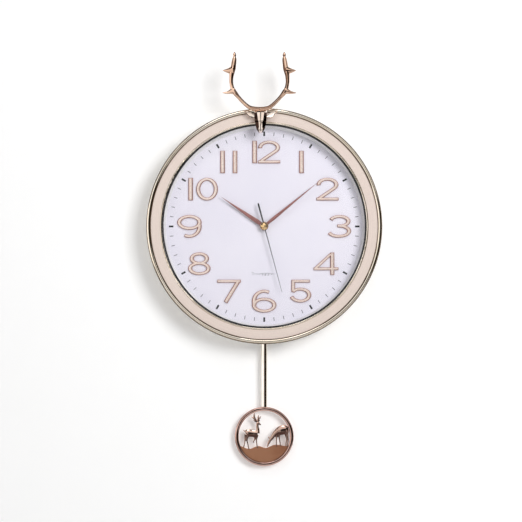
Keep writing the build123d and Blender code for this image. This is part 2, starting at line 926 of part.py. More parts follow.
# ---- the pendulum -------------------------------------------------------------------------------
def drive_coil():
    """The flat coil that kicks the swinging magnet, fixed to the front wall of the box."""
    back = pendulum_depth + lever_thickness / 2 + swing_magnet_length + 0.8
    return ring(drive_coil_radius, 1.5, back, box_front - box_wall, 0.0, swing_magnet_z)


def swing_lever():
    """The lever on its pin in the foot of the box; the rod hangs from the eye at its end."""
    back = pendulum_depth - lever_thickness / 2
    front = pendulum_depth + lever_thickness / 2
    lever = block(-lever_half_width, lever_half_width, lever_eye_z, pivot_z, back, front)
    lever += disc(lever_half_width, back, front, 0.0, lever_eye_z)
    lever += disc(lever_hub_radius, back, front, 0.0, pivot_z)
    lever += disc(swing_magnet_radius + 1.2, back, front, 0.0, swing_magnet_z)
    lever -= disc(lever_pin_radius + running_gap, back, front, 0.0, pivot_z)
    return lever - disc(lever_eye_radius, back, front, 0.0, lever_eye_z)


def swing_magnet():
    back = pendulum_depth + lever_thickness / 2
    return disc(swing_magnet_radius, back, back + swing_magnet_length, 0.0, swing_magnet_z)


def upright(radius, low_z, high_z):
    """A round bar standing along Z in the plane of the pendulum."""
    plane = Plane(origin=(0, -pendulum_depth, low_z), z_dir=(0, 0, 1))
    return extrude(plane * Circle(radius), amount=high_z - low_z)


def rod_cap():
    """The forked cap in the top of the rod, with the pin that hangs in the lever's eye."""
    bore = rod_radius - rod_wall
    cap = upright(rod_radius, rod_top_z, rod_cap_top_z)
    cap += upright(bore - touch_gap, rod_top_z - plug_length, rod_top_z)
    half = lever_half_width + 1.0
    gap = lever_thickness / 2 + 0.15
    slot_foot = lever_eye_z - lever_half_width - 0.8
    back, front = pendulum_depth - gap, pendulum_depth + gap
    cap -= block(-half - 2.0, half + 2.0, slot_foot, rod_cap_top_z, back, front)
    pin_half = rod_radius - 1.0
    pin_back, pin_front = pendulum_depth - pin_half, pendulum_depth + pin_half
    return cap + disc(lever_eye_radius - 0.1, pin_back, pin_front, 0.0, lever_eye_z)


def bob_top_z():
    return bob_center_z + bob_radius


def rod_tube():
    """The polished tube between the cap and the bob."""
    low = bob_top_z() + 1.5
    return upright(rod_radius, low, rod_top_z) - upright(rod_radius - rod_wall, low, rod_top_z)


def rod_ferrule():
    """The stud that joins the rod to the bob: a plug in the tube, a collar, and a screwed end."""
    low = bob_top_z() + 1.5
    bore = rod_radius - rod_wall
    ferrule = upright(rod_radius, bob_top_z() + 0.1, low)
    ferrule += upright(bore - touch_gap, low, low + plug_length)
    return ferrule + upright(stud_radius, bob_top_z() - bob_section + 1.5, low)


def bob_ring():
    """The round frame of the bob, of square section with well rounded edges."""
    middle = bob_radius - bob_section / 2
    section = RectangleRounded(bob_section, bob_section, bob_section * 0.4)
    plane = Plane(origin=(middle, -pendulum_depth, 0), z_dir=(0, 0, 1))
    hoop = Pos(0, 0, bob_center_z) * revolve(plane * section, Axis.Y)
    low, high = bob_top_z() - bob_section - 0.5, bob_top_z() + 0.5
    return hoop - upright(stud_radius + touch_gap, low, high)


def bob_inner_radius():
    return bob_radius - bob_section


def fitted(sketch):
    """A figure drawn for a bob of 39 mm inner radius, brought to the size of this one."""
    return scale(sketch, by=bob_inner_radius() / figure_inner_radius)


def bob_ground():
    """The ground under the figures: the foot of the bob, with a rolling upper edge."""
    radius = bob_inner_radius() - touch_gap
    edge = Spline(
        (-50.0, ground_level - 0.5), (-34.0, ground_level), (-22.0, ground_level - 3.5),
        (-8.0, ground_level + 0.8), (1.0, ground_level - 2.0), (14.0, ground_level + 2.2),
        (28.0, ground_level + 1.6), (50.0, ground_level - 1.0),
    )
    frame = Polyline((50.0, ground_level - 1.0), (50.0, -60.0), (-50.0, -60.0), (-50.0, ground_level - 0.5))
    sketch = fitted(make_face(edge + frame)) & Circle(radius)
    back = pendulum_depth - ground_thickness / 2
    return slab(sketch, back, back + ground_thickness, 0.0, bob_center_z)


def figure(sketch):
    """A flat figure fixed by its hooves to the front of the ground."""
    back = pendulum_depth + ground_thickness / 2
    inside = Circle(bob_inner_radius() - 0.4)
    return slab(fitted(sketch) & inside, back, back + figure_thickness, 0.0, bob_center_z)


def bob_stag():
    """The standing stag, looking to the right with its antlers raised."""
    body = outline(
        (-28.5, 7.0), (-32.3, 10.4), (-29.0, 9.9), (-25.8, 10.6), (-18.5, 8.8), (-14.5, 9.5),
        (-12.3, 14.0), (-12.2, 19.5), (-13.6, 21.6), (-11.4, 21.8), (-10.2, 22.6), (-7.6, 20.8),
        (-5.0, 18.6), (-5.4, 17.3), (-8.8, 16.9), (-8.6, 11.0), (-6.8, 6.0), (-8.6, 1.4),
        (-13.2, -0.6), (-24.0, -0.8), (-28.2, -2.6),
    )
    legs = outline((-28.4, 6.0), (-30.0, -3.2), (-31.2, -10.0), (-33.0, -17.0), (-30.6, -17.2),
                   (-29.0, -10.0), (-27.2, -4.0), (-23.5, 2.0))
    legs += outline((-27.5, 1.0), (-26.2, -6.0), (-26.0, -11.0), (-24.6, -20.0), (-22.4, -20.2),
                    (-23.8, -11.0), (-23.8, -5.0), (-22.4, 1.0))
    legs += outline((-12.8, 1.0), (-13.0, -8.0), (-12.0, -11.0), (-11.6, -18.0), (-9.4, -18.0),
                    (-9.6, -9.0), (-10.4, -6.0), (-9.4, 1.0))
    legs += outline((-15.4, 1.0), (-15.6, -6.0), (-17.6, -10.0), (-16.2, -10.6), (-13.8, -6.6),
                    (-12.6, 1.0))
    horns = outline((-10.8, 21.4), (-15.2, 26.4), (-18.6, 30.4), (-17.4, 30.8), (-14.6, 28.0),
                    (-15.4, 34.6), (-13.6, 34.8), (-12.6, 27.0), (-9.4, 22.4))
    horns += outline((-10.6, 21.6), (-7.8, 25.6), (-8.4, 31.0), (-6.8, 31.0), (-6.2, 27.6),
                     (-3.8, 29.4), (-3.2, 28.4), (-6.4, 24.8), (-8.6, 21.4))
    return figure(body + legs + horns)


def bob_doe():
    """The grazing deer, facing left with its nose at the ground."""
    body = outline(
        (29.5, 16.3), (24.0, 14.4), (17.2, 11.6), (14.2, 7.0), (8.8, -1.8), (5.0, 0.2), (5.4, -2.6),
        (7.2, -3.8), (5.6, -9.0), (3.6, -16.2), (5.8, -17.2), (10.0, -11.6), (14.0, -5.0),
        (18.0, -0.6), (22.4, 1.0), (31.0, 5.2), (36.6, 3.0), (39.4, 8.0), (37.4, 12.8), (33.4, 16.0),
    )
    legs = outline((16.6, 1.0), (18.0, -6.0), (17.6, -17.0), (19.6, -17.0), (20.4, -6.0), (21.2, 1.0))
    legs += outline((20.2, 2.0), (23.0, -6.0), (23.6, -15.6), (25.6, -15.6), (25.0, -5.0), (24.6, 2.0))
    legs += outline((31.4, 6.0), (34.6, -1.0), (33.4, -7.0), (33.8, -16.6), (35.8, -16.6),
                    (35.6, -7.0), (37.6, -1.0), (38.0, 7.0))
    return figure(body + legs)


# ---- the stag's head ----------------------------------------------------------------------------
def head_foot_places():
    return [(head_x + side * head_foot_spacing / 2, head_foot_z) for side in (-1, 1)]


def head_section(rise, half_width, ridge, cheek):
    """One level of the head, at a height over its crown: flat behind, ridged in front."""
    level = Plane(origin=(head_x, -head_back, head_top_z + rise), z_dir=(0, 0, 1))
    face = outline(
        (-half_width, 0), (half_width, 0), (half_width, -cheek), (0, -ridge), (-half_width, -cheek)
    )
    return level * face


def antler_route():
    """The middle of the right beam: sideways, height over the crown, radius."""
    return [
        (14.0, 1.6, 3.1), (25.4, 10.6, 2.5), (33.6, 20.4, 2.5), (38.8, 28.0, 3.0),
        (41.2, 38.0, 2.5), (42.0, 47.0, 2.6), (41.0, 56.0, 3.2), (38.4, 66.0, 3.1),
        (37.4, 76.0, 2.9), (36.6, 82.0, 2.2), (36.6, 87.6, 0.5),
    ]


def antler_tines():
    """Each tine from its fork to its point, by stations as along the beam."""
    return [
        [(38.6, 26.6, 2.4), (46.0, 24.4, 1.9), (56.0, 24.4, 0.4)],
        [(41.2, 52.6, 3.0), (47.0, 56.0, 2.0), (54.4, 59.4, 0.4)],
    ]


def lofted_horn(stations, side):
    """A tapering round branch through its stations, in the plane of the antlers."""
    sections = []
    for i, (x, z, radius) in enumerate(stations):
        before = stations[max(i - 1, 0)]
        after = stations[min(i + 1, len(stations) - 1)]
        direction = (side * (after[0] - before[0]), 0, after[1] - before[1])
        center = (antler_x + side * x, -antler_depth, head_top_z + z)
        sections.append(Plane(origin=center, z_dir=direction, x_dir=(0, 1, 0)) * Circle(radius))
    return loft(sections)


def antler(side):
    beam = lofted_horn(antler_route(), side)
    for tine in antler_tines():
        beam += lofted_horn(tine, side)
    return beam


def antler_socket(side):
    """The stub of the head that meets the foot of an antler face to face."""
    first, second = antler_route()[0], antler_route()[1]
    direction = Vector(side * (first[0] - second[0]), 0, first[1] - second[1])
    center = (antler_x + side * first[0], -antler_depth, head_top_z + first[1])
    stub = Plane(origin=center, z_dir=direction, x_dir=(0, 1, 0)) * Circle(first[2] + 0.4)
    return extrude(stub, amount=antler_root_length)


def ear(side):
    """A pointed ear, standing out sideways from the crown."""
    sections = []
    stations = [(8.5, -11.0, 2.4, 1.8), (16.0, -7.6, 3.4, 2.0), (25.2, -2.8, 0.5, 0.5)]
    for reach, rise, half_height, half_depth in stations:
        center = (head_x + side * reach, -head_back - 4.4, head_top_z + rise)
        plane = Plane(origin=center, z_dir=(side, 0, 0.5), x_dir=(0, 1, 0))
        sections.append(plane * Ellipse(half_depth, half_height))
    return loft(sections)


def deer_head():
    """The cast head: a faceted muzzle, two ears, and the crown that carries the antlers."""
    levels = [
        head_section(3.2, 9.0, 6.9, 3.9),
        head_section(-4.8, 10.6, 10.4, 4.9),
        head_section(-18.3, 9.4, 11.9, 4.4),
        head_section(-26.3, 7.2, 11.4, 4.9),
        head_section(-31.8, 5.8, 10.9, 5.4),
        head_section(-35.6, 3.0, 7.9, 3.9),
    ]
    head = loft(levels, ruled=True)
    for side in (-1, 1):
        head += antler_socket(side)
        head += ear(side)
    for x, z in head_foot_places():
        head += disc(head_foot_radius, band_front, head_back, x, z)
        head -= disc(head_screw_radius + touch_gap, band_front, head_back + 3.0, x, z)
    return head


def head_screws():
    """The two screws that hold the head from behind the band."""
    band_back = band_front - band_thickness
    screws = []
    for x, z in head_foot_places():
        head_start = band_back - head_screw_head_height
        head = disc(head_screw_head_radius, head_start, band_back, x, z)
        shank = disc(head_screw_radius, band_back, head_back + 2.5, x, z)
        screws.append(head + shank)
    return Compound(children=screws)


# ---- everything, one file each ------------------------------------------------------------------
def build():
    os.makedirs("parts", exist_ok=True)
    pieces = [
        case_drum, front_rim, bezel_band, inner_rim, glass_lens, lens_gasket, dial_spacer,
        dial_plate, back_cover, cover_screws, hanger_plate, deer_head, head_screws,
        movement_case, movement_cover, circuit_board, quartz_crystal, coil_bobbin, coil_winding,
        stator, battery, battery_contacts, shaft_nut, rotor, step_wheel,
        seconds_wheel, third_wheel, centre_wheel, cannon_pinion, motion_wheel, hour_wheel,
        set_knob, hour_hand, minute_hand, second_hand, hand_cap, drive_coil, swing_lever,
        swing_magnet, rod_cap, rod_tube, rod_ferrule, bob_ring, bob_ground, bob_stag, bob_doe,
    ]
    for piece in pieces:
        save(piece.__name__, piece())
    save("antler_left", antler(-1))
    save("antler_right", antler(1))
    for hour in range(1, 13):
        save(f"numeral_{hour:02d}", numeral(hour))


build()
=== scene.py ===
import math

import bmesh
import bpy
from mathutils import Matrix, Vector


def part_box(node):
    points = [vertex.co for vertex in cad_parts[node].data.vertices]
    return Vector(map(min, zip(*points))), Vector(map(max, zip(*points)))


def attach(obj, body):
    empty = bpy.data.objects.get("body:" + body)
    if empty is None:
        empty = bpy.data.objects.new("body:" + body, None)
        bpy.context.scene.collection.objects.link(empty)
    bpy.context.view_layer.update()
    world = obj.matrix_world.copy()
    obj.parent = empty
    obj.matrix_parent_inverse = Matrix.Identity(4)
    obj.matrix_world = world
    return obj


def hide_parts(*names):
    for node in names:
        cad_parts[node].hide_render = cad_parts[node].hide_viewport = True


# The looks of a pendulum wall clock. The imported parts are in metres; sizes here are in
# millimetres, turned into metres by MM. A depth is a distance in front of the wall (y = 0).
MM = 0.001

# How far the antlers reach above the crown of the head, and how far the back of the cast head
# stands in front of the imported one's.
antler_height = 87.6
head_back_gap = 3.5

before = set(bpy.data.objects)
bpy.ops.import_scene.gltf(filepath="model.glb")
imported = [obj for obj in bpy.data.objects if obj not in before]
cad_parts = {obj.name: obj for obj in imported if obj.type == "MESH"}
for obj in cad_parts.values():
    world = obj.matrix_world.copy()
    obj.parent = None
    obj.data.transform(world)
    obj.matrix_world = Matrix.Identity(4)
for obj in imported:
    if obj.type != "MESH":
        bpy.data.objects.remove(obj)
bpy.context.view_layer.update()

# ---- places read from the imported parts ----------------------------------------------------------


def low(node):
    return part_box(node)[0] / MM


def high(node):
    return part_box(node)[1] / MM


dial_face = -low("dial_plate").y
numeral_front = -low("numeral_12").y
head_back = -high("deer_head").y + head_back_gap
head_axis = (low("deer_head").x + high("deer_head").x) / 2
antler_depth = -(low("antler_right").y + high("antler_right").y) / 2
antler_axis = (low("antler_left").x + high("antler_right").x) / 2
crown = high("antler_right").z - antler_height
bob_center = (low("bob_ring").z + high("bob_ring").z) / 2
figure_depth = -high("bob_stag").y


# ---- mesh helpers -------------------------------------------------------------------------------
def at(x, depth, z):
    return Vector((x * MM, -depth * MM, z * MM))


def add_piece(name, mesh, body, material):
    piece = bpy.data.objects.new(name, mesh)
    bpy.context.scene.collection.objects.link(piece)
    piece.data.materials.clear()
    piece.data.materials.append(material)
    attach(piece, body)
    return piece


def mesh_from(name, builder):
    """A mesh whose faces all look outwards, filled by builder(bm)."""
    bm = bmesh.new()
    builder(bm)
    bmesh.ops.recalc_face_normals(bm, faces=bm.faces)
    mesh = bpy.data.meshes.new(name)
    bm.to_mesh(mesh)
    bm.free()
    return mesh


def soften(mesh, sharp_angle=40.0):
    """Smooth shading, with the edges sharper than this angle kept crisp."""
    bm = bmesh.new()
    bm.from_mesh(mesh)
    for face in bm.faces:
        face.smooth = True
    for edge in bm.edges:
        if len(edge.link_faces) == 2:
            edge.smooth = edge.calc_face_angle() < math.radians(sharp_angle)
    bm.to_mesh(mesh)
    bm.free()
    return mesh


def skin(bm, rings, closed=False):
    """Faces between one ring of points and the next; an open run is capped at both ends."""
    rows = [[bm.verts.new(point) for point in ring] for ring in rings]
    pairs = list(zip(rows, rows[1:]))
    if closed:
        pairs.append((rows[-1], rows[0]))
    for first, second in pairs:
        count = len(first)
        for i in range(count):
            j = (i + 1) % count
            bm.faces.new((first[i], first[j], second[j], second[i]))
    if not closed:
        bm.faces.new(rows[0])
        bm.faces.new(rows[-1])


def curve_through(points, steps=8):
    """A smooth curve through the points, whatever numbers each of them holds."""
    out = []
    last = len(points) - 1
    for i in range(last):
        a, b = points[max(i - 1, 0)], points[i]
        c, d = points[i + 1], points[min(i + 2, last)]
        for k in range(steps):
            t = k / steps
            out.append(tuple(
                0.5 * (2 * q + (r - p) * t + (2 * p - 5 * q + 4 * r - s) * t**2
                       + (3 * q - p - 3 * r + s) * t**3)
                for p, q, r, s in zip(a, b, c, d)
            ))
    out.append(tuple(points[last]))
    return out


def limb(bm, stations, depth, flat=1.0, sides=16):
    """A round tapering branch through stations of (x, z, radius), with blunt ends."""
    route = curve_through(stations)
    rings = []
    count = len(route)
    for i, (x, z, radius) in enumerate(route):
        before, after = route[max(i - 1, 0)], route[min(i + 1, count - 1)]
        along = Vector((after[0] - before[0], after[1] - before[1])).normalized()
        across = Vector((-along.y, along.x))
        ring = []
        for k in range(sides):
            turn = 2 * math.pi * k / sides
            side = radius * math.cos(turn)
            ring.append(at(x + across.x * side, depth + radius * flat * math.sin(turn), z + across.y * side))
        rings.append(ring)
    skin(bm, rings)


def fused(name, builder, voxel, smoothing):
    """The overlapping shapes of builder grown into one skin, as a casting is."""
    rough = bpy.data.objects.new(name + "_rough", mesh_from(name + "_rough", builder))
    bpy.context.scene.collection.objects.link(rough)
    remesh = rough.modifiers.new("one_skin", "REMESH")
    remesh.mode = "VOXEL"
    remesh.voxel_size = voxel * MM
    smooth = rough.modifiers.new("relax", "SMOOTH")
    smooth.factor = 0.5
    smooth.iterations = smoothing
    depsgraph = bpy.context.evaluated_depsgraph_get()
    mesh = bpy.data.meshes.new_from_object(rough.evaluated_get(depsgraph))
    mesh.name = name
    bpy.data.objects.remove(rough)
    for polygon in mesh.polygons:
        polygon.use_smooth = True
    return mesh


# ---- material helpers ---------------------------------------------------------------------------
def start(name):
    material = bpy.data.materials.new(name)
    material.use_nodes = True
    tree = material.node_tree
    shader = tree.nodes["Principled BSDF"]
    return material, tree, shader


def piece_place(tree):
    """Where a point is on its own piece, in metres."""
    return tree.nodes.new("ShaderNodeTexCoord").outputs["Object"]


def piece_normal(tree):
    """Which way the surface faces, in the directions of its own piece."""
    return tree.nodes.new("ShaderNodeTexCoord").outputs["Normal"]


def place(tree, stretch=(1.0, 1.0, 1.0)):
    """The point on the piece, stretched for brushed or drawn surfaces."""
    mapping = tree.nodes.new("ShaderNodeMapping")
    mapping.inputs["Scale"].default_value = stretch
    tree.links.new(piece_place(tree), mapping.inputs["Vector"])
    return mapping.outputs["Vector"]


def noise(tree, scale, detail=3.0, stretch=(1.0, 1.0, 1.0)):
    node = tree.nodes.new("ShaderNodeTexNoise")
    node.inputs["Scale"].default_value = scale
    node.inputs["Detail"].default_value = detail
    tree.links.new(place(tree, stretch), node.inputs["Vector"])
    return node.outputs["Fac"]


def turned_lines(tree, scale):
    """Fine rings about the axis of the hands, as a lathe or a turning buff leaves."""
    flat = tree.nodes.new("ShaderNodeVectorMath")
    flat.operation = "MULTIPLY"
    flat.inputs[1].default_value = (1.0, 0.0, 1.0)
    tree.links.new(place(tree), flat.inputs[0])
    radius = tree.nodes.new("ShaderNodeVectorMath")
    radius.operation = "LENGTH"
    tree.links.new(flat.outputs["Vector"], radius.inputs[0])
    lines = tree.nodes.new("ShaderNodeTexNoise")
    lines.noise_dimensions = "1D"
    lines.inputs["Scale"].default_value = scale
    lines.inputs["Detail"].default_value = 3.0
    tree.links.new(radius.outputs["Value"], lines.inputs["W"])
    return lines.outputs["Fac"]


def ramp(tree, value, dark, light, start_at=0.35, end_at=0.65):
    node = tree.nodes.new("ShaderNodeValToRGB")
    node.color_ramp.elements[0].position = start_at
    node.color_ramp.elements[1].position = end_at
    node.color_ramp.elements[0].color = (*dark, 1.0)
    node.color_ramp.elements[1].color = (*light, 1.0)
    tree.links.new(value, node.inputs["Fac"])
    return node.outputs["Color"]


def span(tree, value, low_value, high_value):
    node = tree.nodes.new("ShaderNodeMapRange")
    node.inputs["From Min"].default_value = 0.3
    node.inputs["From Max"].default_value = 0.7
    node.inputs["To Min"].default_value = low_value
    node.inputs["To Max"].default_value = high_value
    tree.links.new(value, node.inputs["Value"])
    return node.outputs["Result"]


def bumped(tree, shader, value, height):
    node = tree.nodes.new("ShaderNodeBump")
    node.inputs["Strength"].default_value = 1.0
    node.inputs["Distance"].default_value = height * MM
    tree.links.new(value, node.inputs["Height"])
    tree.links.new(node.outputs["Normal"], shader.inputs["Normal"])


def finish(name, dark, light, metallic, roughness, patch, grain, height, stretch=(1.0, 1.0, 1.0)):
    """A surface with broad tone changes (patch) and a fine texture (grain)."""
    material, tree, shader = start(name)
    broad = noise(tree, patch, 2.0)
    fine = noise(tree, grain, 4.0, stretch)
    tree.links.new(ramp(tree, broad, dark, light), shader.inputs["Base Color"])
    tree.links.new(span(tree, fine, roughness[0], roughness[1]), shader.inputs["Roughness"])
    bumped(tree, shader, fine, height)
    shader.inputs["Metallic"].default_value = metallic
    return material, shader


def tone_ramp(tree, value, stops):
    """A grey that changes along the value by (position, tone) stops."""
    tones = tree.nodes.new("ShaderNodeValToRGB")
    ramp_stops = tones.color_ramp.elements
    while len(ramp_stops) < len(stops):
        ramp_stops.new(0.5)
    for stop, (position, tone) in zip(ramp_stops, stops):
        stop.position = position
        stop.color = (tone, tone, tone, 1.0)
    tree.links.new(value, tones.inputs["Fac"])
    return tones.outputs["Color"]


def eased(tree, value, none_at, all_at):
    """0 up to the first value and 1 from the second on, whichever of them is the larger."""
    step = tree.nodes.new("ShaderNodeMapRange")
    step.inputs["From Min"].default_value = none_at
    step.inputs["From Max"].default_value = all_at
    tree.links.new(value, step.inputs["Value"])
    return step.outputs["Result"]


def blend(tree, factor, first, second):
    mix = tree.nodes.new("ShaderNodeMix")
    mix.data_type = "RGBA"
    tree.links.new(factor, mix.inputs["Factor"])
    for name, color in (("A", first), ("B", second)):
        if isinstance(color, tuple):
            mix.inputs[name].default_value = color
        else:
            tree.links.new(color, mix.inputs[name])
    return mix.outputs["Result"]


def arithmetic(tree, operation, first, second=None):
    node = tree.nodes.new("ShaderNodeMath")
    node.operation = operation
    tree.links.new(first, node.inputs[0])
    if second is not None:
        tree.links.new(second, node.inputs[1])
    return node.outputs[0]


def split(tree, vector):
    parts = tree.nodes.new("ShaderNodeSeparateXYZ")
    tree.links.new(vector, parts.inputs["Vector"])
    return parts.outputs


def darkened(tree, shader, share, dark):
    """Paints a dark tone over the base colour, as strongly as the share says. It stands in for the
    dark reflections of polished metal, and goes by places and directions on the piece alone."""
    plain = shader.inputs["Base Color"].links[0].from_socket
    tree.links.new(blend(tree, share, plain, dark), shader.inputs["Base Color"])


# ---- materials ----------------------------------------------------------------------------------
def champagne_plate():
    """Polished plate with a trace of turned lines."""
    material, tree, shader = start("champagne_plate")
    lines = turned_lines(tree, 1500.0)
    clouds = noise(tree, 18.0, 2.0)
    tree.links.new(ramp(tree, clouds, (0.74, 0.65, 0.53), (0.84, 0.76, 0.66)), shader.inputs["Base Color"])
    tree.links.new(span(tree, lines, 0.04, 0.10), shader.inputs["Roughness"])
    bumped(tree, shader, lines, 0.0008)
    shader.inputs["Metallic"].default_value = 1.0
    return material


def matt_champagne():
    """Satin paint over turned metal: faint rings, and a fine sparkle in the pigment."""
    material, tree, shader = start("matt_champagne")
    lines = turned_lines(tree, 700.0)
    speckle = noise(tree, 900.0, 3.0)
    both = tree.nodes.new("ShaderNodeMix")
    both.inputs["Factor"].default_value = 0.6
    tree.links.new(lines, both.inputs["A"])
    tree.links.new(speckle, both.inputs["B"])
    mixed = both.outputs["Result"]
    tree.links.new(ramp(tree, mixed, (0.79, 0.665, 0.60), (0.89, 0.765, 0.695)), shader.inputs["Base Color"])
    tree.links.new(span(tree, mixed, 0.42, 0.56), shader.inputs["Roughness"])
    bumped(tree, shader, mixed, 0.006)
    shader.inputs["Metallic"].default_value = 0.3
    return material


def rose_gold():
    dark, light = (0.60, 0.38, 0.31), (0.72, 0.50, 0.41)
    return finish("rose_gold", dark, light, 1.0, (0.04, 0.10), 45.0, 700.0, 0.003)[0]


def antler_gold():
    """Rose plate, with painted dark reflections along the inner side of the curve of the antlers."""
    dark, light = (0.68, 0.44, 0.32), (0.84, 0.60, 0.46)
    material, shader = finish("antler_gold", dark, light, 1.0, (0.02, 0.06), 60.0, 700.0, 0.003)
    tree = material.node_tree
    curve_center = 50.0
    middle = (antler_axis * MM, -antler_depth * MM, (crown + curve_center) * MM)
    inward = tree.nodes.new("ShaderNodeVectorMath")
    inward.operation = "SUBTRACT"
    inward.inputs[0].default_value = middle
    tree.links.new(piece_place(tree), inward.inputs[1])
    unit = tree.nodes.new("ShaderNodeVectorMath")
    unit.operation = "NORMALIZE"
    tree.links.new(inward.outputs["Vector"], unit.inputs[0])
    facing = tree.nodes.new("ShaderNodeVectorMath")
    facing.operation = "DOT_PRODUCT"
    tree.links.new(unit.outputs["Vector"], facing.inputs[0])
    tree.links.new(piece_normal(tree), facing.inputs[1])
    # Painted dark reflection: faces turned towards the middle of the antlers' curve are painted dark brown.
    inside_painted_reflection = eased(tree, facing.outputs["Value"], 0.0, 0.3)
    darkened(tree, shader, inside_painted_reflection, (0.13, 0.06, 0.035, 1.0))
    return material


def muzzle_gold():
    """Pale rose plate, with painted dark reflections on the sides of the head below the crown."""
    dark, light = (0.82, 0.66, 0.55), (0.94, 0.82, 0.73)
    material, shader = finish("muzzle_gold", dark, light, 1.0, (0.02, 0.06), 60.0, 700.0, 0.003)
    tree = material.node_tree
    normal = split(tree, piece_normal(tree))
    # Painted dark reflection: surfaces facing sideways below the crown are painted near black.
    sideways = eased(tree, arithmetic(tree, "ABSOLUTE", normal["X"]), 0.35, 0.5)
    light_above, dark_below = crown - 4.0, crown - 5.5
    painted_reflection_below_crown = eased(tree, split(tree, piece_place(tree))["Z"], light_above * MM, dark_below * MM)
    cheek = arithmetic(tree, "MULTIPLY", sideways, painted_reflection_below_crown)
    darkened(tree, shader, cheek, (0.05, 0.025, 0.018, 1.0))
    return material


def figure_rose():
    """Rose plate on the two deer, with painted dark reflections where the surface faces down."""
    dark, light = (0.66, 0.44, 0.36), (0.82, 0.60, 0.50)
    material, shader = finish("figure_rose", dark, light, 1.0, (0.03, 0.09), 60.0, 900.0, 0.003)
    tree = material.node_tree
    normal = split(tree, piece_normal(tree))
    # Painted dark reflection: surfaces facing down are painted dark brown.
    downwards_painted_reflection = eased(tree, normal["Z"], 0.28, -0.22)
    darkened(tree, shader, downwards_painted_reflection, (0.10, 0.05, 0.04, 1.0))
    return material


def rim_plate():
    """Champagne plate on the outer rim, with painted dark reflections along both edges of the lip."""
    material = champagne_plate()
    material.name = "rim_plate"
    tree = material.node_tree
    parts = split(tree, piece_place(tree))
    across = arithmetic(tree, "MULTIPLY", parts["X"], parts["X"])
    up = arithmetic(tree, "MULTIPLY", parts["Z"], parts["Z"])
    radius = arithmetic(tree, "SQRT", arithmetic(tree, "ADD", across, up))
    inner_edge = high("bezel_band").x
    outer_edge = high("front_rim").x
    # Painted dark reflection: thin dark brown rings along the inner and outer edges of the lip.
    dark_width, inner_fade, outer_fade = 1.0, 0.5, 0.6
    inner_dark, outer_dark = inner_edge + dark_width, outer_edge - dark_width
    inner_painted_reflection = eased(tree, radius, (inner_dark + inner_fade) * MM, inner_dark * MM)
    outer_painted_reflection = eased(tree, radius, (outer_dark - outer_fade) * MM, outer_dark * MM)
    edge = arithmetic(tree, "MAXIMUM", inner_painted_reflection, outer_painted_reflection)
    darkened(tree, tree.nodes["Principled BSDF"], edge, (0.17, 0.12, 0.075, 1.0))
    return material


def rod_plate():
    dark, light = (0.84, 0.76, 0.68), (0.92, 0.86, 0.79)
    return finish("rod_plate", dark, light, 1.0, (0.03, 0.08), 60.0, 900.0, 0.002)[0]


def numeral_gold():
    """Rose plate: pale on the crowns of the numerals, with painted dark reflections down their flanks."""
    dark, light = (0.94, 0.76, 0.67), (0.98, 0.84, 0.76)
    material, shader = finish("numeral_gold", dark, light, 0.45, (0.25, 0.35), 60.0, 1500.0, 0.004)
    tree = material.node_tree
    depth = split(tree, piece_place(tree))["Y"]
    relief = numeral_front - dial_face
    # Painted dark reflection: the flanks below each numeral's crown are painted deep rose-brown.
    pale_above, deep_below = dial_face + 0.985 * relief, dial_face + 0.93 * relief
    flank_painted_reflection = eased(tree, depth, -pale_above * MM, -deep_below * MM)
    darkened(tree, shader, flank_painted_reflection, (0.34, 0.13, 0.095, 1.0))
    return material


def ring_rose():
    dark, light = (0.46, 0.29, 0.245), (0.60, 0.40, 0.35)
    return finish("ring_rose", dark, light, 1.0, (0.04, 0.10), 60.0, 900.0, 0.003)[0]


def rose_hand():
    dark, light = (0.27, 0.105, 0.095), (0.36, 0.15, 0.135)
    return finish("rose_hand", dark, light, 0.85, (0.28, 0.38), 40.0, 1800.0, 0.004)[0]


def black_hand():
    dark, light = (0.012, 0.012, 0.014), (0.03, 0.03, 0.034)
    material, shader = finish("black_hand", dark, light, 0.0, (0.35, 0.5), 60.0, 1500.0, 0.004)
    shader.inputs["Specular IOR Level"].default_value = 0.15
    return material


def cap_gold():
    dark, light = (0.72, 0.45, 0.18), (0.86, 0.60, 0.30)
    return finish("cap_gold", dark, light, 1.0, (0.18, 0.28), 300.0, 1500.0, 0.002)[0]


def matt_copper():
    dark, light = (0.30, 0.125, 0.065), (0.38, 0.18, 0.10)
    return finish("matt_copper", dark, light, 0.55, (0.42, 0.58), 25.0, 2200.0, 0.02)[0]


def dial_white():
    dark, light = (0.81, 0.785, 0.885), (0.84, 0.815, 0.905)
    return finish("dial_white", dark, light, 0.0, (0.42, 0.55), 12.0, 1600.0, 0.01)[0]


def white_plastic():
    dark, light = (0.80, 0.79, 0.80), (0.88, 0.87, 0.88)
    return finish("white_plastic", dark, light, 0.0, (0.3, 0.42), 15.0, 900.0, 0.01)[0]


def black_plastic():
    dark, light = (0.020, 0.020, 0.022), (0.034, 0.034, 0.037)
    return finish("black_plastic", dark, light, 0.0, (0.42, 0.62), 14.0, 1300.0, 0.05)[0]


def black_rubber():
    dark, light = (0.014, 0.014, 0.014), (0.028, 0.028, 0.028)
    return finish("black_rubber", dark, light, 0.0, (0.6, 0.8), 30.0, 900.0, 0.02)[0]


def zinc_steel():
    dark, light = (0.50, 0.52, 0.55), (0.64, 0.66, 0.68)
    stretch = (1.0, 1.0, 0.06)
    return finish("zinc_steel", dark, light, 1.0, (0.24, 0.42), 35.0, 1500.0, 0.01, stretch)[0]


def ivory_plastic():
    dark, light = (0.72, 0.66, 0.52), (0.80, 0.75, 0.62)
    return finish("ivory_plastic", dark, light, 0.0, (0.32, 0.46), 60.0, 1500.0, 0.006)[0]


def green_board():
    dark, light = (0.015, 0.12, 0.045), (0.025, 0.17, 0.065)
    return finish("green_board", dark, light, 0.0, (0.25, 0.4), 300.0, 1800.0, 0.01)[0]


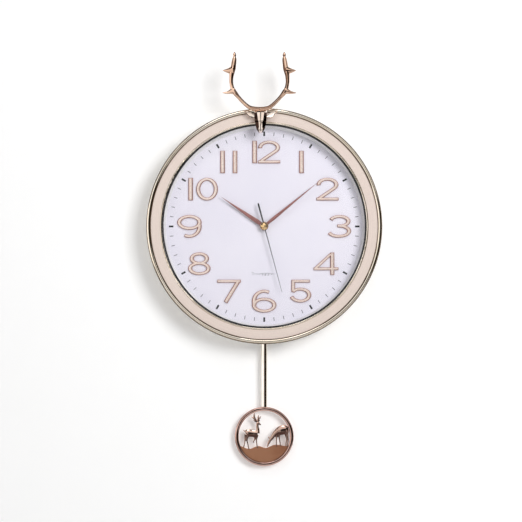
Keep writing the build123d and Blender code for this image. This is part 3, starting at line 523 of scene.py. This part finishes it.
def copper_wire():
    """Fine lacquered windings, as close bands across the coil."""
    material, tree, shader = start("copper_wire")
    wave = tree.nodes.new("ShaderNodeTexWave")
    wave.inputs["Scale"].default_value = 1100.0
    wave.inputs["Distortion"].default_value = 0.4
    tree.links.new(place(tree), wave.inputs["Vector"])
    turns = wave.outputs["Fac"]
    tree.links.new(ramp(tree, turns, (0.38, 0.12, 0.04), (0.72, 0.30, 0.13)), shader.inputs["Base Color"])
    tree.links.new(span(tree, turns, 0.22, 0.38), shader.inputs["Roughness"])
    bumped(tree, shader, turns, 0.05)
    shader.inputs["Metallic"].default_value = 0.9
    return material


def silicon_steel():
    dark, light = (0.38, 0.38, 0.40), (0.50, 0.50, 0.52)
    return finish("silicon_steel", dark, light, 1.0, (0.3, 0.45), 90.0, 1200.0, 0.01)[0]


def battery_jacket():
    """A plain sleeve: dark over most of its length, copper coloured at one end."""
    material, tree, shader = start("battery_jacket")
    dark_up_to, copper_from = 11.8, 12.2
    band = eased(tree, split(tree, piece_place(tree))["X"], dark_up_to * MM, copper_from * MM)
    jacket = ramp(tree, band, (0.03, 0.035, 0.05), (0.60, 0.28, 0.12), 0.0, 1.0)
    tree.links.new(jacket, shader.inputs["Base Color"])
    scuffs = noise(tree, 700.0, 3.0, (0.1, 1.0, 1.0))
    tree.links.new(span(tree, scuffs, 0.22, 0.36), shader.inputs["Roughness"])
    bumped(tree, shader, scuffs, 0.004)
    shader.inputs["Metallic"].default_value = 0.4
    return material


def nickel_strip():
    dark, light = (0.60, 0.57, 0.50), (0.72, 0.69, 0.62)
    return finish("nickel_strip", dark, light, 1.0, (0.2, 0.36), 80.0, 1300.0, 0.006)[0]


def brass_metal():
    dark, light = (0.62, 0.42, 0.16), (0.76, 0.55, 0.25)
    return finish("brass_metal", dark, light, 1.0, (0.2, 0.34), 90.0, 1500.0, 0.008)[0]


def clear_glass():
    """Thin clear glass: nearly all of it lets light straight through, with faint smears."""
    material, tree, shader = start("clear_glass")
    smears = noise(tree, 14.0, 4.0)
    tree.links.new(span(tree, smears, 0.015, 0.05), shader.inputs["Roughness"])
    tint = ramp(tree, smears, (0.86, 0.90, 0.90), (0.92, 0.95, 0.95))
    tree.links.new(tint, shader.inputs["Base Color"])
    shader.inputs["Alpha"].default_value = 0.025
    shader.inputs["Specular IOR Level"].default_value = 0.8
    return material


def ink(name, dark, light):
    material, shader = finish(name, dark, light, 0.0, (0.35, 0.5), 200.0, 2500.0, 0.002)
    shader.inputs["Specular IOR Level"].default_value = 0.15
    return material


def tick_ink():
    return ink("tick_ink", (0.012, 0.012, 0.016), (0.035, 0.035, 0.042))


def pale_ink():
    return ink("pale_ink", (0.07, 0.07, 0.085), (0.11, 0.11, 0.13))


# ---- the numerals: puffed, plated strokes -------------------------------------------------------
upright_stroke = 6.0
level_stroke = 4.2
numeral_height = high("numeral_12").z - low("numeral_12").z
half_height = numeral_height / 2


def stroke_width(along):
    """Upright runs are heavier than level ones."""
    return math.hypot(upright_stroke * along.y, level_stroke * along.x)


def oval(x, z, reach, rise, start_at=0.0, end_at=360.0, steps=72):
    """Points on the middle line of a bowl, from one angle to the other."""
    count = max(8, round(steps * abs(end_at - start_at) / 360.0))
    points = []
    for i in range(count + 1):
        angle = math.radians(start_at + (end_at - start_at) * i / count)
        points.append((x + reach * math.cos(angle), z + rise * math.sin(angle)))
    return points


def line(start_point, end_point, steps=6):
    (x0, z0), (x1, z1) = start_point, end_point
    return [(x0 + (x1 - x0) * i / steps, z0 + (z1 - z0) * i / steps) for i in range(steps + 1)]


def with_rounded_ends(points, radius=1.1):
    """The same run with extra stations near both ends, each with how full its section is."""
    steps = 5
    first, last = Vector(points[0]), Vector(points[-1])
    inward = (Vector(points[1]) - first).normalized()
    outward = (last - Vector(points[-2])).normalized()
    shares = [i / steps for i in range(steps)]
    head = [((*(first + inward * radius * s),), math.sqrt(max(0.02, 1 - (1 - s) ** 2))) for s in shares]
    tail = [((*(last - outward * radius * s),), math.sqrt(max(0.02, 1 - (1 - s) ** 2))) for s in shares]
    middle = [
        (tuple(p), 1.0) for p in points
        if (Vector(p) - first).length > radius and (Vector(p) - last).length > radius
    ]
    return head + middle + tail[::-1]


def ribbon(bm, points, center_x, center_z, closed, width):
    """A raised stroke of rounded section along a middle line, standing on the dial. Without a width
    it is as wide as its direction asks."""
    if closed:
        stations = [(tuple(p), 1.0) for p in points[:-1]]
    else:
        stations = with_rounded_ends(points)
    count = len(stations)
    relief = numeral_front - dial_face
    profile = [(-1.0, 0.0), (-1.0, 0.66), (-0.97, 0.71), (-0.70, 0.94), (-0.62, 0.965), (0.0, 1.0)]
    profile += [(-side, rise) for side, rise in profile[-2::-1]]
    rings = []
    for i, ((x, z), fullness) in enumerate(stations):
        if closed:
            before, after = stations[i - 1][0], stations[(i + 1) % count][0]
        else:
            before, after = stations[max(i - 1, 0)][0], stations[min(i + 1, count - 1)][0]
        along = (Vector(after) - Vector(before)).normalized()
        across = Vector((-along.y, along.x))
        half = (width or stroke_width(along)) / 2
        ring = []
        for share, height in profile:
            side = half * share
            rise = relief * min(height, fullness)
            ring.append(at(center_x + x + across.x * side, dial_face + rise, center_z + z + across.y * side))
        rings.append(ring)
    skin(bm, rings, closed)


def digit_runs(digit):
    """The middle lines of a digit's strokes: (points, closed, width or None)."""
    top = half_height - level_stroke / 2
    small_rise = 7.25
    large_rise = 7.9
    six_rise = 9.15
    upper_z = top - small_rise
    lower_z = -top + large_rise
    six_z = -top + six_rise
    if digit == 0:
        return [(oval(0, 0, 13.5, top), True, None)]
    if digit == 1:
        return [(line((0, -half_height), (0, half_height)), False, upright_stroke + 0.8)]
    if digit == 2:
        bowl = oval(0, top - 8.4, 13.5, 8.4, 186.0, -38.0)
        return [
            (bowl + line(bowl[-1], (-13.2, -top + 0.6))[1:], False, None),
            (line((-17.0, -top), (17.0, -top)), False, None),
        ]
    if digit == 3:
        return [
            (oval(1.0, upper_z, 13.5, small_rise, 165.0, -103.0), False, None),
            (oval(0, lower_z, 15.5, large_rise, 100.0, -163.0), False, None),
        ]
    if digit == 4:
        arm = -half_height + 7.5 + level_stroke / 2
        return [
            (line((9.5, -half_height), (9.5, half_height)), False, None),
            (line((-19.0, arm), (19.0, arm)), False, None),
            (line((7.6, half_height - 2.4), (-16.8, arm)), False, level_stroke),
        ]
    if digit == 5:
        return [
            (line((-13.5, top), (14.5, top)), False, None),
            (line((-10.8, half_height - 0.6), (-10.8, -1.4)), False, 5.4),
            (oval(0, six_z, 13.5, six_rise, 146.0, -166.0), False, None),
        ]
    if digit == 6:
        return [
            (oval(0, six_z, 15.5, six_rise), True, None),
            (oval(0, 0, 15.5, top, 62.0, 205.0), False, None),
        ]
    if digit == 7:
        return [
            (line((-18.0, top), (18.0, top)), False, None),
            (line((14.2, top), (-5.4, -half_height)), False, upright_stroke),
        ]
    if digit == 8:
        return [
            (oval(0, upper_z, 11.5, small_rise), True, None),
            (oval(0, lower_z, 14.0, large_rise), True, None),
        ]
    turned = []
    for points, closed, width in digit_runs(6):
        turned.append(([(-x, -z) for x, z in points], closed, width))
    return turned


def digits_of(hour):
    """The digits of an hour with the place of each about the numeral's middle."""
    if hour < 10:
        sideways = {2: -2.0, 4: -4.5, 5: -2.0, 7: 3.5}.get(hour, 0.0)
        return [(hour, sideways)]
    second_place = {0: (-13.5, 11.5), 1: (-6.5, 12.5), 2: (-14.5, 7.5)}[hour - 10]
    return [(1, second_place[0]), (hour - 10, second_place[1])]


def numeral(hour, material):
    node = f"numeral_{hour:02d}"
    center_z = (low(node).z + high(node).z) / 2
    turn = math.radians(90.0 - 30.0 * hour)
    radius = (low("numeral_12").z + high("numeral_12").z) / 2
    center_x = radius * math.cos(turn)

    def build(bm):
        for digit, shift in digits_of(hour):
            for points, closed, width in digit_runs(digit):
                ribbon(bm, points, center_x + shift, center_z, closed, width)

    mesh = soften(mesh_from(node, build), 22.0)
    piece = add_piece(f"raised_{node}", mesh, "case", material)
    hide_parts(node)


# ---- print on the dial --------------------------------------------------------------------------
track_radius = 142.0
hour_tick = (2.8, 7.0)
minute_tick = (0.9, 5.4)
print_height = 0.08


def tick(bm, index, size):
    """One small mark pointing at the middle of the dial."""
    turn = math.radians(90.0 - 6.0 * index)
    outward = Vector((math.cos(turn), math.sin(turn)))
    sideways = Vector((-outward.y, outward.x))
    middle = outward * track_radius
    rings = []
    for depth in (dial_face + 0.01, dial_face + print_height):
        ring = []
        for side, end in ((-1, -1), (1, -1), (1, 1), (-1, 1)):
            point = middle + sideways * side * size[0] / 2 + outward * end * size[1] / 2
            ring.append(at(point.x, depth, point.y))
        rings.append(ring)
    skin(bm, rings)


def hour_marks(material):
    def build(bm):
        for hour in range(12):
            tick(bm, hour * 5, hour_tick)

    add_piece("hour_marks", mesh_from("hour_marks", build), "case", material)


def minute_marks(material):
    def build(bm):
        for minute in range(60):
            if minute % 5:
                tick(bm, minute, minute_tick)

    add_piece("minute_marks", mesh_from("minute_marks", build), "case", material)


def pen_stroke(bm, points, center_x, center_z, width, steps):
    """A flat printed line through the points, thin at both ends."""
    route = curve_through(points, steps)
    count = len(route)
    rings = []
    for i, (x, z) in enumerate(route):
        before, after = route[max(i - 1, 0)], route[min(i + 1, count - 1)]
        along = (Vector(after) - Vector(before)).normalized()
        across = Vector((-along.y, along.x))
        half = width * (0.25 + 0.75 * math.sin(math.pi * (i + 0.5) / count)) / 2
        ring = []
        for depth, side in ((0.01, -1), (print_height, -1), (print_height, 1), (0.01, 1)):
            spot_x = center_x + x + across.x * half * side
            spot_z = center_z + z + across.y * half * side
            ring.append(at(spot_x, dial_face + depth, spot_z))
        rings.append(ring)
    skin(bm, rings)


def flourish(material):
    """A plain ornamental scroll below the middle of the dial: a slanting run of loops."""
    center_z = -73.0
    half_length = 17.5
    loops = 8
    steps = loops * 12

    def build(bm):
        scroll = []
        for i in range(steps + 1):
            share = i / steps
            turn = 2 * math.pi * loops * share
            size = 0.7 + 1.3 * abs(math.cos(1.5 * math.pi * share + 0.4))
            height = size * math.cos(turn)
            slant = 0.45 * height
            scroll.append((half_length * (2 * share - 1) + 0.9 * size * math.sin(turn) + slant, height))
        pen_stroke(bm, scroll, 0.0, center_z, 0.5, 2)
        opening = [(-20.0, 1.8), (-18.6, 3.2), (-16.6, 2.6), (-17.6, 0.2), (-17.9, -1.2)]
        pen_stroke(bm, opening, 0.0, center_z, 0.5, 8)

    add_piece("dial_flourish", mesh_from("dial_flourish", build), "case", material)


# ---- the stag's head ----------------------------------------------------------------------------
def head_row(rise, outer, inner, ridge, brow, cheek):
    """One level of the head: groove, bridge, brow edge, cheek edge and back, right half first."""
    half = [
        (0.0, ridge - 0.5), (0.8, ridge), (inner, brow), (outer, cheek), (outer * 0.93, 0.0),
    ]
    other_half = [(-x, depth) for x, depth in reversed(half[1:])]
    return [at(head_axis + x, head_back + depth, crown + rise) for x, depth in half + other_half]


def head_block(bm):
    rows = [
        head_row(3.0, 9.2, 5.8, 5.6, 5.2, 3.4),
        head_row(-2.8, 9.8, 6.0, 8.8, 8.2, 4.4),
        head_row(-5.1, 9.6, 5.4, 10.6, 10.0, 5.6),
        head_row(-17.6, 8.7, 3.8, 12.0, 11.5, 7.0),
        head_row(-19.6, 8.5, 3.0, 11.2, 10.7, 6.2),
        head_row(-27.6, 6.7, 2.3, 11.5, 11.0, 6.8),
        head_row(-30.6, 5.9, 3.2, 11.8, 11.2, 7.4),
        head_row(-33.6, 4.2, 2.6, 10.4, 9.8, 6.6),
        head_row(-35.5, 2.4, 1.7, 7.6, 7.2, 4.6),
    ]
    skin(bm, rows)


def ear_leaf(bm, side):
    """A pointed ear, cupped towards the front."""
    stations = [(8.6, -11.2, 1.9), (12.4, -9.6, 2.9), (16.6, -7.6, 3.2), (20.8, -5.2, 2.2), (24.8, -3.2, 0.4)]
    route = curve_through(stations, 5)
    rings = []
    for i, (x, z, half) in enumerate(route):
        before, after = route[max(i - 1, 0)], route[min(i + 1, len(route) - 1)]
        along = Vector((after[0] - before[0], after[1] - before[1])).normalized()
        across = Vector((-along.y, along.x))
        ring = []
        for u, lift in ((-1.0, 0.9), (-0.5, 0.1), (0.0, -0.3), (0.5, 0.1), (1.0, 0.9),
                        (0.9, -0.5), (0.0, -1.9), (-0.9, -0.5)):
            spot = (head_axis + side * (x + across.x * half * u), z + across.y * half * u)
            ring.append(at(spot[0], head_back + 5.4 + lift * min(1.0, half), crown + spot[1]))
        rings.append(ring)
    skin(bm, rings)


def head(material):
    def build(bm):
        head_block(bm)
        for side in (-1, 1):
            ear_leaf(bm, side)

    mesh = mesh_from("stag_head", build)
    piece = add_piece("stag_head", mesh, "case", material)
    bevel = piece.modifiers.new("worn_edges", "BEVEL")
    bevel.width = 0.35 * MM
    bevel.segments = 3
    bevel.limit_method = "ANGLE"
    bevel.angle_limit = math.radians(20.0)
    soften(mesh, 25.0)
    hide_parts("deer_head")


# ---- the antlers --------------------------------------------------------------------------------
def antler(side, material):
    """One antler with its two tines, and the half of the crown that it springs from."""
    beam = [
        (0.0, 0.9, 2.6), (8.0, 1.2, 2.9), (15.6, 3.2, 3.0), (24.3, 10.4, 2.8), (32.1, 18.9, 2.9),
        (37.6, 25.6, 3.8), (41.0, 32.4, 3.1), (42.6, 41.1, 3.0), (42.4, 49.8, 3.4), (41.4, 56.6, 4.2),
        (39.8, 62.8, 4.2), (38.8, 69.6, 3.9), (37.9, 76.4, 3.4), (37.7, 79.8, 2.2), (37.7, 82.4, 2.6),
        (37.7, 85.2, 1.7), (37.7, 87.4, 0.5),
    ]
    lower_tine = [
        (37.4, 28.4, 5.2), (42.0, 27.2, 4.2), (46.2, 25.8, 2.7), (50.8, 25.0, 1.7), (55.8, 25.0, 0.6),
    ]
    upper_tine = [
        (39.6, 59.4, 7.2), (43.4, 58.8, 5.9), (47.2, 58.6, 4.0), (51.2, 58.7, 2.3), (55.4, 59.0, 0.6),
    ]

    def build(bm):
        for stations, flat in ((beam, 0.92), (lower_tine, 0.7), (upper_tine, 0.66)):
            shifted = [(antler_axis + side * x, crown + z, radius) for x, z, radius in stations]
            limb(bm, shifted, antler_depth, flat)

    name = "antler_left" if side < 0 else "antler_right"
    mesh = fused("cast_" + name, build, 0.45, 2)
    piece = add_piece("cast_" + name, mesh, "case", material)
    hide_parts(name)


# ---- the figures in the bob ---------------------------------------------------------------------
def figure(name, node, limbs, material):
    def build(bm):
        for stations, flat in limbs:
            shifted = [(x, bob_center + z, radius) for x, z, radius in stations]
            limb(bm, shifted, figure_depth, flat, 14)

    piece = add_piece(name, fused(name, build, 0.28, 3), "pendulum", material)
    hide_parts(node)


def stag(material):
    limbs = [
        # trunk, neck, head with muzzle, tail
        ([(-27.8, 3.8, 4.2), (-24.8, 5.2, 6.0), (-18.6, 4.8, 5.5),
          (-12.8, 4.2, 5.7), (-10.2, 4.8, 4.2)], 0.45),
        ([(-10.6, 5.2, 4.0), (-9.8, 10.4, 2.7), (-10.4, 15.6, 2.1), (-10.4, 20.4, 1.9)], 0.75),
        ([(-11.6, 20.6, 1.6), (-9.4, 20.2, 2.2), (-7.2, 18.8, 1.5), (-5.2, 17.7, 0.9)], 0.8),
        ([(-27.4, 7.2, 1.4), (-30.4, 8.6, 0.9), (-32.2, 10.0, 0.4)], 0.8),
        # legs, hind pair first
        ([(-27.2, 3.0, 3.4), (-28.4, -2.0, 1.9), (-29.6, -7.9, 1.1),
          (-30.4, -12.4, 0.9), (-31.8, -16.6, 1.1)], 0.7),
        ([(-25.6, 1.0, 2.8), (-26.6, -4.6, 1.5), (-25.2, -10.6, 0.9),
          (-24.2, -15.4, 0.9), (-23.2, -19.8, 1.1)], 0.7),
        ([(-11.4, 2.0, 2.8), (-11.8, -3.6, 1.4), (-11.7, -8.8, 0.9),
          (-11.0, -13.4, 0.9), (-10.4, -17.6, 1.2)], 0.7),
        ([(-13.6, 1.0, 2.2), (-14.6, -4.2, 1.2), (-16.4, -8.2, 0.9), (-15.4, -10.0, 0.8)], 0.7),
        # ears and antlers
        ([(-11.2, 21.6, 1.0), (-14.2, 23.6, 1.1), (-16.5, 24.3, 0.4)], 0.7),
        ([(-9.6, 21.4, 1.0), (-7.8, 24.0, 1.0), (-6.4, 25.2, 0.4)], 0.7),
        ([(-11.0, 21.8, 1.4), (-13.8, 26.0, 1.7), (-15.4, 30.4, 1.5), (-15.0, 35.6, 0.6)], 0.8),
        ([(-13.0, 25.0, 1.3), (-16.2, 27.6, 1.3), (-19.2, 29.8, 0.5)], 0.8),
        ([(-10.4, 22.0, 1.4), (-9.2, 26.4, 1.6), (-9.0, 32.4, 0.6)], 0.8),
        ([(-9.4, 25.6, 1.2), (-7.0, 27.8, 1.2), (-4.8, 30.4, 0.5)], 0.8),
    ]
    figure("stag_figure", "bob_stag", limbs, material)


def doe(material):
    limbs = [
        # trunk, neck down to the nose, ear, tail
        ([(19.4, 7.0, 5.0), (23.6, 8.6, 6.9), (28.6, 10.0, 7.3),
          (32.4, 10.2, 6.6), (35.4, 9.0, 3.4)], 0.42),
        ([(21.0, 8.0, 5.0), (16.4, 4.4, 3.9), (12.4, -1.0, 2.9), (9.2, -5.4, 2.3)], 0.6),
        ([(9.8, -4.2, 2.0), (7.6, -8.2, 2.0), (5.8, -12.4, 1.4), (4.6, -15.8, 0.9)], 0.8),
        ([(9.0, -3.6, 1.0), (7.2, -1.8, 1.0), (5.6, -0.4, 0.4)], 0.7),
        ([(35.8, 10.8, 1.2), (37.0, 9.0, 0.9)], 0.8),
        # legs, fore pair first
        ([(20.0, 5.0, 3.0), (18.9, -1.6, 1.4), (18.5, -8.0, 0.9), (18.5, -15.6, 1.1)], 0.7),
        ([(22.4, 4.6, 2.6), (22.9, -2.0, 1.3), (23.9, -8.0, 0.9), (24.8, -14.6, 1.1)], 0.7),
        ([(34.2, 8.4, 3.4), (35.0, 1.6, 1.9), (36.2, -4.4, 1.1),
          (35.6, -10.0, 0.9), (35.3, -15.4, 1.1)], 0.7),
        ([(31.8, 7.0, 3.0), (33.2, 1.0, 1.5), (34.2, -4.0, 1.0),
          (33.2, -9.6, 0.9), (32.8, -14.8, 1.1)], 0.7),
    ]
    figure("doe_figure", "bob_doe", limbs, material)


# ---- stage, lights and camera -------------------------------------------------------------------
def wall_paint():
    """Even white paint that casts no shadow. From behind, the eye and the light pass through it."""
    material, tree, shader = start("wall_paint")
    shader.inputs["Base Color"].default_value = (0.92, 0.92, 0.92, 1.0)
    shader.inputs["Roughness"].default_value = 0.9
    shader.inputs["Specular IOR Level"].default_value = 0.0
    shader.inputs["Emission Color"].default_value = (1.0, 1.0, 1.0, 1.0)
    shader.inputs["Emission Strength"].default_value = 0.12
    clear = tree.nodes.new("ShaderNodeBsdfTransparent")
    mix = tree.nodes.new("ShaderNodeMixShader")
    geometry = tree.nodes.new("ShaderNodeNewGeometry")
    path = tree.nodes.new("ShaderNodeLightPath")
    passes = arithmetic(tree, "MAXIMUM", geometry.outputs["Backfacing"], path.outputs["Is Shadow Ray"])
    tree.links.new(passes, mix.inputs["Fac"])
    tree.links.new(shader.outputs["BSDF"], mix.inputs[1])
    tree.links.new(clear.outputs["BSDF"], mix.inputs[2])
    output = tree.nodes["Material Output"]
    tree.links.new(mix.outputs["Shader"], output.inputs["Surface"])
    return material


def stage_sheet(name, corners, material):
    mesh = bpy.data.meshes.new(name)
    mesh.from_pydata(corners, [], [(0, 1, 2, 3)])
    mesh.materials.append(material)
    sheet = bpy.data.objects.new(name, mesh)
    bpy.context.scene.collection.objects.link(sheet)


def stage():
    reach, drop, rise = 3.0, -1.6, 2.4
    wall_y = 0.0008
    paint = wall_paint()
    stage_sheet("wall", [(-reach, wall_y, drop), (reach, wall_y, drop), (reach, wall_y, rise),
                         (-reach, wall_y, rise)], paint)
    dark, light = (0.80, 0.79, 0.78), (0.84, 0.83, 0.82)
    floor_paint = finish("floor_paint", dark, light, 0.0, (0.6, 0.8), 3.0, 60.0, 0.1)[0]
    stage_sheet("floor", [(-reach, -reach, drop), (reach, -reach, drop), (reach, reach, drop),
                          (-reach, reach, drop)], floor_paint)


def soft_light(name, place_at, target, size, power, mirrored=True):
    data = bpy.data.lights.new(name, "AREA")
    data.shape = "RECTANGLE"
    data.size, data.size_y = size
    data.energy = power
    light = bpy.data.objects.new(name, data)
    bpy.context.scene.collection.objects.link(light)
    light.location = place_at
    light.visible_glossy = mirrored
    light.rotation_euler = (Vector(target) - Vector(place_at)).to_track_quat("-Z", "Y").to_euler()


def lights():
    middle = (0.0, -0.02, -0.05)
    soft_light("key", (1.15, -2.1, 0.62), middle, (1.0, 1.0), 37.0, mirrored=False)
    soft_light("top", (-0.3, -1.5, 2.0), middle, (1.4, 0.7), 9.0)
    soft_light("left", (-2.0, -1.6, 0.2), middle, (0.5, 1.6), 3.0)
    soft_light("behind", (0.6, 1.6, 0.6), middle, (1.2, 1.2), 30.0)


def surroundings():
    """A pale room for the eye, a soft one for matt paint, and for polished metal a studio with a
    bright front, dark sides, a white card on the left and a dark one on the right."""
    world = bpy.data.worlds.new("studio")
    bpy.context.scene.world = world
    world.use_nodes = True
    tree = world.node_tree
    background = tree.nodes["Background"]
    # In the world these are directions: X to the right, Y towards the wall and past it, Z up.
    direction = split(tree, tree.nodes.new("ShaderNodeTexCoord").outputs["Generated"])
    depth_share = eased(tree, direction["Y"], -1.0, 1.0)
    soft_stops = [(0.0, 0.56), (0.16, 0.56), (0.22, 0.01), (0.53, 0.01), (0.60, 0.45), (1.0, 0.60)]
    soft = tone_ramp(tree, depth_share, soft_stops)
    mirror_stops = [(0.0, 0.04), (0.009, 0.06), (0.018, 1.1), (0.17, 1.1), (0.22, 0.02), (0.56, 0.02),
                    (0.66, 0.45), (1.0, 0.60)]
    mirror = tone_ramp(tree, depth_share, mirror_stops)
    height = arithmetic(tree, "ABSOLUTE", direction["Z"])
    to_the_right = eased(tree, direction["X"], 0.03, 0.08)
    at_eye_level = eased(tree, height, 0.26, 0.20)
    dark_card = arithmetic(tree, "MULTIPLY", to_the_right, at_eye_level)
    mirror = blend(tree, dark_card, mirror, (0.03, 0.02, 0.015, 1.0))
    to_the_left = eased(tree, direction["X"], -0.06, -0.12)
    white_card = arithmetic(tree, "MULTIPLY", to_the_left, at_eye_level)
    mirror = blend(tree, white_card, mirror, (1.1, 1.08, 1.05, 1.0))
    path = tree.nodes.new("ShaderNodeLightPath")
    lit = blend(tree, path.outputs["Is Glossy Ray"], soft, mirror)
    seen = blend(tree, path.outputs["Is Camera Ray"], lit, (0.93, 0.93, 0.93, 1.0))
    tree.links.new(seen, background.inputs["Color"])
    background.inputs["Strength"].default_value = 1.0


def camera():
    """Square on to the clock and a touch below it, with the dial a little above the middle."""
    target = Vector((-0.0049, -dial_face * MM, -0.0528))
    distance = 2.0
    below = math.radians(2.5)
    data = bpy.data.cameras.new("camera")
    data.lens = 90.5
    eye = bpy.data.objects.new("camera", data)
    bpy.context.scene.collection.objects.link(eye)
    eye.location = target + distance * Vector((0.0, -math.cos(below), -math.sin(below)))
    eye.rotation_euler = (target - eye.location).to_track_quat("-Z", "Y").to_euler()
    bpy.context.scene.camera = eye
    bpy.context.scene.view_settings.view_transform = "Standard"


# ---- everything ---------------------------------------------------------------------------------
def dress_nodes(materials):
    """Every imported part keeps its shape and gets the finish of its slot."""
    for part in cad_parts.values():
        for place_in_mesh, packed in enumerate(part.data.materials):
            part.data.materials[place_in_mesh] = materials[packed.name.split(".")[0]]
    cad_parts["hand_cap"].data.materials[0] = cap_gold()
    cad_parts["bob_ring"].data.materials[0] = ring_rose()
    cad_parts["front_rim"].data.materials[0] = rim_plate()
    rod_finish = rod_plate()
    for name in ("rod_cap", "rod_tube", "rod_ferrule"):
        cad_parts[name].data.materials[0] = rod_finish


def make_materials():
    makers = [
        champagne_plate, matt_champagne, rose_gold, numeral_gold, rose_hand, black_hand,
        matt_copper, dial_white, white_plastic, black_plastic, black_rubber, zinc_steel,
        ivory_plastic, green_board, copper_wire, silicon_steel, battery_jacket, nickel_strip,
        brass_metal, clear_glass,
    ]
    return {maker.__name__: maker() for maker in makers}


materials = make_materials()
dress_nodes(materials)
for hour in range(1, 13):
    numeral(hour, materials["numeral_gold"])
hour_marks(tick_ink())
minute_marks(pale_ink())
flourish(pale_ink())
head(muzzle_gold())
horn_finish = antler_gold()
antler(-1, horn_finish)
antler(1, horn_finish)
deer_finish = figure_rose()
stag(deer_finish)
doe(deer_finish)
stage()
lights()
surroundings()
camera()
